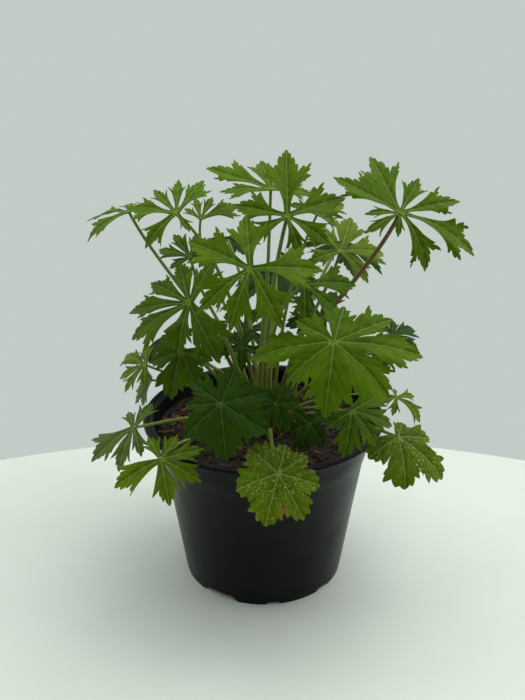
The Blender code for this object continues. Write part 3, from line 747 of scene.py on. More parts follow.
LEAVES = (
    LeafPlan("leaf_top", (15, -15, 268), 45, -90,
         ((-154, 28, 35), (-71, 28, 40), (-30, 34, 32), (25, 43, 18), (90, 52, 5), (162, 38, 22)),
             (0, 0), cut=0.09, age=0.0, stalk=1.9),
    LeafPlan("leaf_centre", (-8, -52, 245), 42, -95,
         ((-147, 43, 38), (-112, 41, 40), (-63, 42, 40), (3, 46, 28), (93, 41, 5), (146, 48, 18)),
             (-4, -7), cut=0.09, age=0.0, stalk=1.9),
    LeafPlan("leaf_right_broad", (42, -76, 207), 36, -92,
         ((-179, 55, 40), (-147, 38, 46), (-99, 47, 50), (-43, 49, 45), (-1, 59, 35), (27, 42, 14),
          (74, 28, 5), (144, 28, 5)),
             (10, -7), cut=0.26, age=0.5, stalk=2.1),
    LeafPlan("leaf_right_high", (85, -22, 272), 38, -85,
         ((-151, 26, 32), (-94, 16, 40), (-54, 44, 74), (-11, 63, 55), (20, 43, 10), (64, 32, 0),
          (109, 51, 8), (143, 51, 12), (178, 22, 20)),
             (7, 0), cut=0.1, age=0.0, stalk=2.1, stem=Stem.RED),
    LeafPlan("leaf_top_back", (5, 40, 273), 22, -90,
             ((49, 34, 10), (100, 38, 5), (148, 54, 5), (175, 36, 14), (0, 30, 20)),
             (0, 14), cut=0.14, age=0.1),
    LeafPlan("leaf_top_behind", (38, 50, 253), 38, -60,
             ((-11, 20, 20), (45, 30, 14), (100, 26, 8), (166, 22, 20)),
             (7, 14), age=0.1, stalk=1.4),
    LeafPlan("leaf_far_left_high", (-92, 32, 259), 12, -150,
             ((-164, 36, 42), (54, 24, 10), (98, 26, 12), (140, 42, 26)),
             (-11, 7), age=0.0),
    LeafPlan("leaf_left_high", (-58, 16, 262), 32, -95,
         ((-138, 32, 45), (-54, 16, 40), (63, 38, 10), (90, 34, 5), (124, 31, 10), (158, 39, 22)),
             (-4, 7), age=0.0),
    LeafPlan("leaf_left_high_small", (-44, 44, 251), 35, -70,
             ((47, 38, 22), (75, 26, 12), (105, 22, 10), (140, 16, 20)),
             (3, 7), age=0.1, stalk=1.3, green=Green.YOUNG),
    LeafPlan("leaf_left_inner", (-53, 58, 219), 36, -105,
             ((-20, 20, 35), (75, 24, 10), (118, 29, 10), (148, 31, 22), (-165, 18, 30)),
             (-7, 14), age=0.2, green=Green.MIDDLE),
    LeafPlan("leaf_left_mid", (-48, -22, 212), 35, -120,
         ((-175, 51, 38), (-112, 36, 38), (-72, 48, 35), (64, 38, 10), (100, 43, 10),
          (131, 47, 20), (161, 53, 28)),
             (-11, -7), cut=0.14, age=0.2, stalk=1.9, green=Green.MIDDLE),
    LeafPlan("leaf_right_inner", (52, 15, 236), 30, -60,
             ((-150, 24, 25), (-34, 29, 35), (28, 41, 25), (78, 42, 8), (122, 28, 10)),
             (10, 7), age=0.2, green=Green.YOUNG),
    LeafPlan("leaf_centre_small", (25, -40, 231), 38, -70,
             ((-82, 29, 45), (-24, 30, 38), (20, 40, 25), (80, 24, 8), (124, 28, 5)),
             (3, -7), age=0.1, stalk=1.5, green=Green.MIDDLE),
    LeafPlan("leaf_right_mid", (87, -10, 185), 30, -60,
             ((-67, 16, 30), (-10, 22, 30), (44, 26, 30), (86, 15, 10), (134, 12, 10)),
             (14, 0), age=0.3, stalk=1.4, green=Green.DEEP, plain=True),
    LeafPlan("leaf_right_low", (56, -58, 152), 35, -70,
             ((-140, 20, 30), (-95, 31, 42), (-42, 28, 38), (-2, 32, 32), (40, 32, 20)),
             (17, -7), cut=0.3, age=0.4, green=Green.MIDDLE),
    LeafPlan("leaf_far_right_low", (88, -52, 130), 30, -70,
             ((-142, 25, 40), (-78, 35, 46), (-28, 42, 45), (12, 24, 20), (75, 13, 5)),
             (21, 0), cut=0.5, age=0.9, green=Green.OLD),
    LeafPlan("leaf_right_low_small", (96, 15, 127), 30, -60,
             ((-150, 14, 30), (-96, 15, 45), (-17, 30, 62), (24, 18, 20), (100, 8, 5)),
             (17, 7), age=0.1, stalk=1.3, green=Green.YOUNG),
    LeafPlan("leaf_left_low_small", (-81, -5, 161), 30, -150,
             ((-151, 24, 35), (-95, 18, 30), (94, 24, 8), (125, 36, 15), (168, 26, 28)),
             (-21, 0), age=0.2, stalk=1.3, green=Green.YOUNG, stem=Stem.PALE),
    LeafPlan("leaf_left_low", (-56, -6, 171), 38, -110,
             ((-176, 24, 22), (-111, 34, 45), (-73, 31, 40), (-22, 23, 22), (130, 22, 5)),
             (-14, -14), cut=0.35, age=0.6, green=Green.MIDDLE),
    LeafPlan("leaf_left_folded", (-79, 5, 145), 50, -160,
             ((-150, 20, 30), (178, 26, 25), (136, 20, 15)),
             (-18, 7), cut=0.3, age=0.5, stalk=1.3, green=Green.GREY, stem=Stem.PALE),
    LeafPlan("leaf_front_dark", (-26, -80, 168), 45, -95,
         ((-142, 31, 30), (-86, 35, 40), (-32, 34, 28), (14, 30, 15), (68, 26, 5), (140, 24, 10),
          (178, 22, 15)),
             (-7, -14), cut=0.4, age=0.7, green=Green.DEEP),
    LeafPlan("leaf_far_left_low", (-86, -42, 132), 24, -110,
             ((-149, 36, 30), (-110, 32, 35), (-76, 22, 35), (62, 24, 8), (108, 16, 5)),
             (-18, -7), age=0.2, green=Green.GREY, stem=Stem.PALE),
    LeafPlan("leaf_front_left_low", (-65, -72, 125), 32, -100,
             ((-155, 35, 25), (-80, 31, 32), (-30, 30, 27), (14, 28, 12), (60, 20, 5), (118, 20, 5)),
             (-10, -21), age=0.2, green=Green.YOUNG, stem=Stem.PALE),
    LeafPlan("leaf_front_old", (9, -98, 130), 40, -88,
         ((-160, 28, 25), (-104, 33, 25), (-60, 32, 25), (-13, 27, 20), (34, 22, 10), (76, 20, 5),
          (138, 25, 5)),
             (4, -21), cut=0.55, age=1.0, green=Green.OLD),
    LeafPlan("leaf_inner_left", (8, -50, 153), 40, -100,
             ((-146, 17, 30), (-72, 18, 30), (4, 16, 12), (68, 16, 5), (132, 15, 5)),
             (0, -14), cut=0.4, age=0.7, stalk=1.3, green=Green.DEEP, plain=True),
    LeafPlan("leaf_inner_right", (30, -52, 140), 45, -80,
             ((-154, 15, 30), (-107, 19, 40), (-53, 18, 40), (40, 16, 5), (141, 14, 5)),
             (11, -21), cut=0.4, age=0.6, stalk=1.3, green=Green.DEEP, plain=True),
    LeafPlan("leaf_inner_mid", (-14, 58, 161), 24, -92,
             ((-150, 26, 30), (-104, 26, 32), (-30, 24, 30), (20, 26, 18), (70, 28, 8), (125, 27, 10)),
             (-14, 14), cut=0.3, age=0.3, stalk=1.4, green=Green.DEEP, plain=True),
    LeafPlan("leaf_back_high_left", (-28, 98, 222), 34, 105,
             ((-150, 28, 35), (160, 38, 35), (112, 46, 30), (66, 38, 30), (22, 28, 25)),
             (-3, 21), age=0.1, plain=True),
    LeafPlan("leaf_back_high_right", (58, 84, 222), 36, 62,
             ((150, 32, 30), (108, 44, 30), (62, 48, 28), (16, 42, 30), (-26, 30, 30)),
             (14, 14), age=0.2, stalk=1.8, plain=True),
    LeafPlan("leaf_back_mid", (10, 92, 196), 40, 92,
             ((172, 34, 30), (132, 46, 32), (88, 52, 34), (44, 46, 32), (6, 34, 30)),
             (4, 21), cut=0.28, age=0.5, stalk=1.8, plain=True),
    LeafPlan("leaf_back_left_low", (-72, 62, 156), 32, 140,
             ((-160, 28, 35), (176, 36, 40), (138, 40, 40), (98, 36, 35), (58, 26, 30)),
             (-10, 21), cut=0.35, age=0.6, green=Green.DEEP, plain=True),
    LeafPlan("leaf_back_right_low", (76, 62, 150), 32, 40,
             ((118, 26, 30), (80, 36, 36), (38, 40, 40), (-2, 34, 36), (-40, 26, 32)),
             (11, 21), cut=0.4, age=0.8, green=Green.DEEP, plain=True),
    inner_leaf("leaf_inner_front", (-15, 6, 170), 18, (-14, 0)),
    inner_leaf("leaf_inner_far_right", (40, 20, 188), 26, (21, 14)),
)


class Kind(Enum):
    """What a corner of the leaf edge is."""

    SIDE = "side"
    TOOTH = "tooth"
    NOTCH = "notch"


@dataclass(frozen=True)
class Corner:
    """One corner of the flat leaf edge, in millimetres from where the stalk joins."""

    x: float
    y: float
    kind: Kind

    def spot(self) -> np.ndarray:
        """The corner's place."""
        return np.array((self.x, self.y))


@dataclass
class BladeForm:
    """The flat outline of one blade, its veins, and the way it bends in space."""

    plan: LeafPlan
    number: int
    fold: float = 0.14
    edge_step: float = 0.8
    small_tooth_from: float = 7.5
    lobes: list[tuple[float, float, float]] = field(init=False)
    gaps: list[float] = field(init=False)
    edge: np.ndarray = field(init=False)
    ribs: list[np.ndarray] = field(init=False)
    side_veins: list[np.ndarray] = field(init=False)

    def __post_init__(self) -> None:
        """Order the lobes, find the gap where the stalk arrives, and draw the outline and veins."""
        plan = self.plan
        lobes = sorted((a % 360.0, length, bend) for a, length, bend in plan.lobes)
        gaps = [(lobes[(k + 1) % len(lobes)][0] - lobe[0]) % 360.0 for k, lobe in enumerate(lobes)]
        widest = gaps.index(max(gaps))
        self.lobes = lobes[widest + 1:] + lobes[:widest + 1]
        self.gaps = gaps[widest + 1:] + gaps[:widest + 1]
        self.sinus = math.radians(self.lobes[-1][0] + 0.5 * self.gaps[-1])
        lean, toward = math.radians(plan.lean), math.radians(plan.toward)
        self.up = Vector((math.sin(lean) * math.cos(toward), math.sin(lean) * math.sin(toward),
                          math.cos(lean)))
        turn = Vector((0.0, 0.0, 1.0)).rotation_difference(self.up)
        self.right = turn @ Vector((1.0, 0.0, 0.0))
        self.back = turn @ Vector((0.0, 1.0, 0.0))
        self.centre = Vector(plan.at)
        self.draws = random.Random(SEED + self.number)
        self.small_draws = random.Random(1000 + self.number)
        self.draw()

    def half_lobe(self, angle: float, length: float, gap: float, side: float) -> list[Corner]:
        """Corners of one half of a lobe, from its root to just short of its tip.

        Args:
            angle: the lobe's direction.
            length: the lobe's length.
            gap: the angle to the next lobe on this side.
            side: -1 for the half before the midrib, 1 for the half after it.

        Returns:
            The corners in order.
        """
        plan = self.plan
        half_gap = math.radians(min(0.5 * gap, 32.0))
        limit = 0.32 + 0.14 * plan.age
        width = min(limit, 0.78 * math.tan(0.92 * half_gap)) * min(length, LONG_LOBE)
        points = [(0.5 * (plan.cut + 0.58), 0.30 + 0.56 * plan.age)]
        for narrow, broad in zip(NARROW_LOBE, BROAD_LOBE):
            points.append(tuple(n + (b - n) * plan.age for n, b in zip(narrow, broad)))
        kinds = [Kind.SIDE] + [Kind.TOOTH, Kind.NOTCH] * 3
        if length < SHORT_LOBE or plan.plain:
            del points[1:3], kinds[1:3]
        corners = []
        for (along, out), kind in zip(points, kinds):
            along += self.draws.uniform(-0.015, 0.015)
            out *= self.draws.uniform(0.92, 1.06)
            room = NOTCH_ROOM if kind is Kind.NOTCH else TOOTH_ROOM
            offset = min(math.atan2(out * width, along * length), room * half_gap)
            reach = math.hypot(along * length, out * width)
            turn = math.radians(angle) + side * offset
            corners.append(Corner(reach * math.cos(turn), reach * math.sin(turn), kind))
        return corners

    def arc(self, start: np.ndarray, end: np.ndarray, bulge: float, side: float) -> list[np.ndarray]:
        """Bow a line outward between two spots.

        Args:
            start: first spot, left out of the result.
            end: last spot, in the result.
            bulge: how far the middle stands out, as a share of the length.
            side: which half of the lobe this is.

        Returns:
            The spots of the bowed line.
        """
        run = end - start
        length = float(np.hypot(*run))
        out = side * np.array((-run[1], run[0]))
        steps = max(2, round(length / self.edge_step))
        shares = np.arange(1, steps + 1) / steps
        return [start + run * s + out * (bulge * math.sin(math.pi * s)) for s in shares]

    def drawn(self, corners: Sequence[Corner], side: float) -> list[np.ndarray]:
        """Draw the edge through the corners of half a lobe, with small teeth on the long sides.

        Args:
            corners: from the valley beside the lobe to its tip.
            side: which half of the lobe this is.

        Returns:
            The spots of the edge, from the valley to the tip.
        """
        age = self.plan.age
        line = [corners[0].spot()]
        for k, (here, there) in enumerate(zip(corners, corners[1:])):
            start, end = here.spot(), there.spot()
            run = end - start
            length = float(np.hypot(*run))
            out = side * np.array((-run[1], run[0]))
            narrow_foot = k < 2 and age < 0.5
            if length < self.small_tooth_from or narrow_foot or k == 0:
                bow = -0.05 + 0.13 * age if k < 2 else (0.09 if there.kind is Kind.TOOTH else 0.04)
                line += self.arc(start, end, bow, side)
            elif there.kind is Kind.TOOTH:
                share = self.small_draws.uniform(0.46, 0.58)
                peak = start + run * share + out * self.small_draws.uniform(0.13, 0.17)
                base = start + run * (share + 0.02) + out * 0.02
                line += self.arc(start, peak, 0.08, side)
                line += self.arc(peak, base, 0.04, side)
                line += self.arc(base, end, 0.10, side)
            else:
                share = self.small_draws.uniform(0.36, 0.46)
                peak = start + run * share + out * self.small_draws.uniform(0.10, 0.15)
                base = start + run * (share - 0.02) + out * -0.05
                line += self.arc(start, base, 0.05, side)
                line += self.arc(base, peak, 0.06, side)
                line += self.arc(peak, end, 0.02, side)
        return line

    def tooth_veins(self, corners: Sequence[Corner], angle: float, length: float) -> list[np.ndarray]:
        """Draw the vein into each tooth: off the midrib, through the tooth's base, to its tip.

        Args:
            corners: from the valley beside the lobe to its tip.
            angle: the lobe's direction.
            length: the lobe's length.

        Returns:
            A line of spots for each vein.
        """
        way = np.array((math.cos(math.radians(angle)), math.sin(math.radians(angle))))
        veins = []
        for before, tooth, after in zip(corners, corners[1:], corners[2:]):
            if tooth.kind is not Kind.TOOTH:
                continue
            base = 0.5 * (before.spot() + after.spot())
            along = float(base @ way)
            out = float(np.hypot(*(base - way * along)))
            start = way * max(0.12 * length, along - 1.6 * out)
            end = tooth.spot() + 0.06 * (base - tooth.spot())
            bend = 2.0 * base - 0.5 * (start + end)
            steps = max(4, round(float(np.hypot(*(end - start))) / 1.1))
            shares = np.linspace(0.05, 1.0, steps)[:, None]
            veins.append(start * (1 - shares) ** 2 + 2 * bend * shares * (1 - shares) + end * shares ** 2)
        return veins

    def draw(self) -> None:
        """Draw the whole edge, the main ribs and the side veins."""
        plan = self.plan
        mean = sum(lobe[1] for lobe in self.lobes) / len(self.lobes)
        root = Corner(0.07 * mean * math.cos(self.sinus), 0.07 * mean * math.sin(self.sinus), Kind.NOTCH)
        valley = root
        edge: list[np.ndarray] = [root.spot()]
        self.ribs, self.side_veins = [], []
        for k, (angle, length, _) in enumerate(self.lobes):
            turn = math.radians(angle)
            way = np.array((math.cos(turn), math.sin(turn)))
            tip = Corner(length * way[0], length * way[1], Kind.TOOTH)
            rising = [valley, *self.half_lobe(angle, length, self.gaps[k - 1], -1.0), tip]
            later = self.half_lobe(angle, length, self.gaps[k], 1.0)
            if k < len(self.lobes) - 1:
                near = plan.cut * min(length, self.lobes[k + 1][1])
                middle = math.radians(angle + 0.5 * self.gaps[k])
                valley = Corner(near * math.cos(middle), near * math.sin(middle), Kind.NOTCH)
            else:
                valley = root
            falling = [valley, *later, tip]
            edge += self.drawn(rising, -1.0)[1:]
            edge += list(reversed(self.drawn(falling, 1.0)))[1:]
            steps = max(6, round(length / 1.2))
            self.ribs.append(np.linspace(0.02, 0.985, steps)[:, None] * length * way)
            self.side_veins += self.tooth_veins(rising, angle, length)
            self.side_veins += self.tooth_veins(falling, angle, length)
        self.edge = np.array(edge[:-1])

    def bend_at(self, angle: np.ndarray) -> tuple[np.ndarray, np.ndarray, np.ndarray]:
        """Bend and distance to the nearest midrib in each direction from the stalk.

        Args:
            angle: directions in radians.

        Returns:
            Bend for each millimetre out, angle from the nearest midrib, and half the gap there.
        """
        gaps = np.array(self.gaps)
        ends = np.cumsum(gaps)
        turn = (np.degrees(angle) - self.lobes[0][0]) % 360.0
        k = np.minimum(np.searchsorted(ends, turn, side="left"), len(gaps) - 1)
        turn = turn - (ends[k] - gaps[k])
        share = turn / gaps[k]
        blend = np.clip((share - 0.3) / 0.4, 0.0, 1.0)
        blend = blend * blend * (3.0 - 2.0 * blend)
        bends = np.array([math.radians(lobe[2]) / lobe[1] for lobe in self.lobes])
        first, second = bends[k], bends[(k + 1) % len(bends)]
        near = np.where(share < 0.5, turn, gaps[k] - turn)
        return first + (second - first) * blend, np.radians(near), np.radians(0.5 * gaps[k])

    def place(self, flat: np.ndarray, lift: np.ndarray) -> np.ndarray:
        """Put flat spots of the blade in space: arched along the lobes, pleated at the ribs.

        Args:
            flat: one row of x and y for each spot.
            lift: how far each spot stands above the blade's own surface.

        Returns:
            One row of x, y and z for each spot.
        """
        reach = np.hypot(flat[:, 0], flat[:, 1])
        angle = np.arctan2(flat[:, 1], flat[:, 0])
        bend, off, half_gap = self.bend_at(angle)
        right, back, up = (np.array(v) for v in (self.right, self.back, self.up))
        outward = np.cos(angle)[:, None] * right + np.sin(angle)[:, None] * back
        turn = bend * reach
        safe = np.where(np.abs(turn) < 1e-4, 1.0, bend)
        along = np.where(np.abs(turn) < 1e-4, reach, np.sin(turn) / safe)
        drop = np.where(np.abs(turn) < 1e-4, 0.0, (1.0 - np.cos(turn)) / safe)
        # Rounded over between the ribs, sharp in the valley along each of them
        peak = np.sin(np.minimum(half_gap, 0.5 * math.pi))
        share = np.clip(off / np.maximum(half_gap, 1e-6), 0.0, 1.0)
        tent = np.sin(np.minimum(off, 0.5 * math.pi))
        pleat = 0.5 * tent + 0.5 * peak * (1.0 - (1.0 - share) ** 2)
        pleat = np.minimum(pleat, tent * 1.4)
        raised = self.fold * reach * pleat + lift
        normal = np.cos(turn)[:, None] * up + np.sin(turn)[:, None] * outward
        return np.array(self.centre) + outward * along[:, None] - up * drop[:, None] + normal * raised[:, None]


def inside(outline: np.ndarray, spots: np.ndarray) -> np.ndarray:
    """Tell which spots lie inside a closed outline.

    Args:
        outline: corners of the outline in order.
        spots: the spots to test.

    Returns:
        One truth value for each spot.
    """
    x0, y0 = outline[:, 0], outline[:, 1]
    x1, y1 = np.roll(x0, -1), np.roll(y0, -1)
    x, y = spots[:, :1], spots[:, 1:]
    spans = (y0 > y) != (y1 > y)
    rise = np.where(y1 == y0, 1e-9, y1 - y0)
    cross = x < (x1 - x0) * (y - y0) / rise + x0
    return (spans & cross).sum(axis=1) % 2 == 1


def nearest(spots: np.ndarray, marks: np.ndarray) -> np.ndarray:
    """Distance from each spot to the nearest of the marks.

    Args:
        spots: flat spots.
        marks: flat spots to measure to.

    Returns:
        One distance for each spot.
    """
    tree = kdtree.KDTree(len(marks))
    for k, (x, y) in enumerate(marks):
        tree.insert((x, y, 0.0), k)
    tree.balance()
    return np.array([tree.find((x, y, 0.0))[2] for x, y in spots])


@dataclass
class DelphiniumLeaf:
    """One leaf: a thin veined blade on a tapered, short-haired stalk."""

    plan: LeafPlan
    number: int
    grain: float = 1.45
    thickness: float = 0.34
    rib_thickness: float = 1.0
    swell: float = 0.42
    small_swell: float = 0.24
    ripple: float = 0.55
    stalk_low: float = 100.0
    stalk_clear: float = 117.0
    pot_height: float = 122.4
    hairs_per_mm: float = 1.5
    hair: float = 0.95

    def blade(self, form: BladeForm) -> bpy.types.Object:
        """Build the blade as one closed skin with a raised rib under each main vein.

        Args:
            form: the blade's outline, veins and bends.

        Returns:
            The blade, with fields for its material.
        """
        low, high = form.edge.min(axis=0), form.edge.max(axis=0)
        pitch = self.grain
        rows = np.arange(low[1], high[1], pitch * 0.866)
        grid = [(x, y) for k, y in enumerate(rows)
                for x in np.arange(low[0] + 0.5 * pitch * (k % 2), high[0], pitch)]
        fixed = np.concatenate([form.edge, *form.ribs, *form.side_veins])
        spots = np.array(grid)
        spots = spots[inside(form.edge, spots)]
        spots = spots[nearest(spots, fixed) > 0.6 * pitch]
        flat = [Vector(p) for p in np.concatenate([fixed, spots])]
        lines, start = [], len(form.edge)
        for vein in [*form.ribs, *form.side_veins]:
            lines += [(start + k, start + k + 1) for k in range(len(vein) - 1)]
            start += len(vein)
        loop = [tuple(range(len(form.edge)))]
        verts, _, faces, _, _, _ = delaunay_2d_cdt(flat, lines, loop, 1, 1e-5)
        plane = np.array([(v.x, v.y) for v in verts])
        rib = nearest(plane, np.concatenate(form.ribs))
        vein = np.minimum(rib, nearest(plane, np.concatenate(form.side_veins)))
        rim = nearest(plane, form.edge)
        points = form.place(plane, self.lift(plane, rib, vein, rim))
        turned = []
        for a, b, c in faces:
            ab, ac = plane[b] - plane[a], plane[c] - plane[a]
            turned.append((a, b, c) if ab[0] * ac[1] - ab[1] * ac[0] > 0.0 else (a, c, b))
        blade = add_mesh(self.plan.name + " blade", points * MM, turned)
        add_field(blade, "rib", rib)
        add_field(blade, "vein", vein)
        add_field(blade, "rim", rim)
        shift = 200.0 * self.number
        add_field(blade, "plane", np.column_stack([plane + shift, np.zeros(len(plane))]))
        reach = np.hypot(plane[:, 0], plane[:, 1])
        # How far out each spot lies, 0 at the stalk to 1 at the farthest tip; the material paints light towards
        # the tips from it
        add_field(blade, "tip", reach / reach.max())
        taper = np.clip(1.0 - reach / (reach.max() * 0.9), 0.0, 1.0)
        thin = self.thickness / self.rib_thickness
        weight = thin + (1.0 - thin) * taper * np.exp(-(rib / 0.8) ** 2)
        group = blade.vertex_groups.new(name="thickness")
        for k, w in enumerate(weight):
            group.add((k,), float(w), "REPLACE")
        skins = [skin.material() if skin.name not in bpy.data.materials else bpy.data.materials[skin.name]
                 for skin in self.plan.green.value]
        dress(blade, skins)
        apply_modifier(blade, "SOLIDIFY", {"thickness": self.rib_thickness * MM, "offset": -1.0,
                                           "vertex_group": "thickness", "material_offset": 1})
        blade.vertex_groups.clear()
        make_active(blade)
        bpy.ops.object.shade_smooth_by_angle(angle=math.radians(50.0))
        return blade

    def lift(self, plane: np.ndarray, rib: np.ndarray, vein: np.ndarray, rim: np.ndarray) -> np.ndarray:
        """Height of the upper skin: swollen between the veins and rippled at the edge.

        Args:
            plane: flat spots of the blade.
            rib: distance to the nearest main rib.
            vein: distance to the nearest vein of any size.
            rim: distance to the edge.

        Returns:
            Height above the blade's own surface for each spot.
        """
        draws = random.Random(500 + self.number)
        swell = self.swell * (1.0 - np.exp(-rib / 2.2)) + self.small_swell * (1.0 - np.exp(-vein / 1.2))
        wave = np.zeros(len(plane))
        for length in (26.0, 17.0, 11.0):
            turn, phase = draws.uniform(0.0, math.tau), draws.uniform(0.0, math.tau)
            along = plane[:, 0] * math.cos(turn) + plane[:, 1] * math.sin(turn)
            wave += np.sin(along * math.tau / length + phase) * (length / 26.0)
        edge = 0.35 + 0.65 * np.exp(-rim / 4.0)
        reach = np.clip(np.hypot(plane[:, 0], plane[:, 1]) / 12.0, 0.0, 1.0)
        return 0.5 * self.thickness + swell * (0.5 + 0.5 * (1.0 - np.exp(-rim / 1.5))) \
            + self.ripple * 0.6 * wave * edge * reach

    def stalk(self, form: BladeForm) -> bpy.types.Object:
        """Draw the stalk as a tapered curve from the soil to the blade and make it a mesh.

        Args:
            form: the blade that the stalk carries.

        Returns:
            The stalk, with a field for its climb.
        """
        plan = self.plan
        foot = Vector((plan.foot[0], plan.foot[1], self.stalk_low))
        clear = Vector((plan.foot[0], plan.foot[1], self.stalk_clear))
        middle = -(form.right * math.cos(form.sinus) + form.back * math.sin(form.sinus))
        arrive = (middle * 0.55 + form.up * 0.84).normalized()
        span = (form.centre - clear).length
        out = Vector((form.centre.x - clear.x, form.centre.y - clear.y, 0.0))
        rise = max(0.0, form.centre.z - clear.z)
        first = clear + Vector((0.0, 0.0, 10.0 + 0.35 * rise)) + out * 0.12
        second = form.centre - arrive * (0.30 * span)
        second.z = max(second.z, min(form.centre.z, self.pot_height + 10.0))
        bpy.ops.object.select_all(action="DESELECT")
        bpy.ops.curve.primitive_bezier_curve_add()
        obj = bpy.context.object
        curve = obj.data
        curve.dimensions = "3D"
        spline = curve.splines[0]
        spline.bezier_points.add(1)
        lower, upper = foot + (clear - foot) / 3.0, clear - (clear - foot) / 3.0
        knots = ((foot, foot, lower, 1.15), (clear, upper, first, 1.0),
                 (form.centre + form.up * 0.1, second, form.centre, 0.62))
        for point, (spot, before, after, size) in zip(spline.bezier_points, knots):
            point.handle_left_type = point.handle_right_type = "FREE"
            point.co, point.handle_left, point.handle_right = spot * MM, before * MM, after * MM
            point.radius = size
        spline.resolution_u = 22
        curve.bevel_depth = plan.stalk * MM
        curve.bevel_resolution = 3
        curve.use_fill_caps = True
        make_active(obj)
        bpy.ops.object.convert(target="MESH")
        stalk = bpy.context.object
        points = points_of(stalk)
        low, high = self.stalk_clear * MM, max(form.centre.z * MM, (self.stalk_clear + 1.0) * MM)
        add_field(stalk, "climb", np.clip((points[:, 2] - low) / (high - low), 0.0, 1.0))
        skin = plan.stem.value
        dress(stalk, [bpy.data.materials.get(skin.name) or skin.material()])
        bpy.ops.object.shade_smooth_by_angle(angle=math.radians(50.0))
        return stalk

    def hairs(self, stalk: bpy.types.Object) -> bpy.types.Object:
        """Set short hairs on the stalk, each a thin three-sided spike.

        Args:
            stalk: the finished stalk.

        Returns:
            All the hairs as one object.
        """
        draws = random.Random(900 + self.number)
        verts = [v for v in stalk.data.vertices if v.co.z > self.stalk_clear * MM]
        points, faces = [], []
        span = (Vector(self.plan.at) - Vector((*self.plan.foot, self.stalk_clear))).length
        for _ in range(round(span * self.hairs_per_mm)):
            root = draws.choice(verts)
            other = draws.choice([stalk.data.vertices[root.index - 1], root])
            spot = root.co.lerp(other.co, draws.random()) if (other.co - root.co).length < 2 * MM else root.co
            lean = Vector([draws.gauss(0.0, 0.35) for _ in range(3)])
            way = (root.normal + lean).normalized()
            side = way.orthogonal().normalized() * 0.055 * MM
            tip = spot + way * self.hair * draws.uniform(0.6, 1.1) * MM
            start = len(points)
            base = spot - way * 0.1 * MM
            points += [base + Matrix.Rotation(turn, 3, way) @ side for turn in (0.0, 2.094, 4.189)]
            points.append(tip)
            faces += [(start, start + 1, start + 3), (start + 1, start + 2, start + 3),
                      (start + 2, start, start + 3), (start, start + 2, start + 1)]
        hairs = add_mesh(self.plan.name + " hairs", np.array([tuple(p) for p in points]), faces)
        finish = StalkHair()
        dress(hairs, [bpy.data.materials.get(finish.name) or finish.material()])
        return hairs

    def build(self) -> bpy.types.Object:
        """Build the whole leaf and let it stand for its CAD node.

        Returns:
            The finished leaf.
        """
        form = BladeForm(self.plan, self.number)
        stalk = self.stalk(form)
        leaf = join([self.blade(form), stalk, self.hairs(stalk)], self.plan.name + "_living")
        stand_in(leaf, self.plan.name)
        return leaf


# Pot

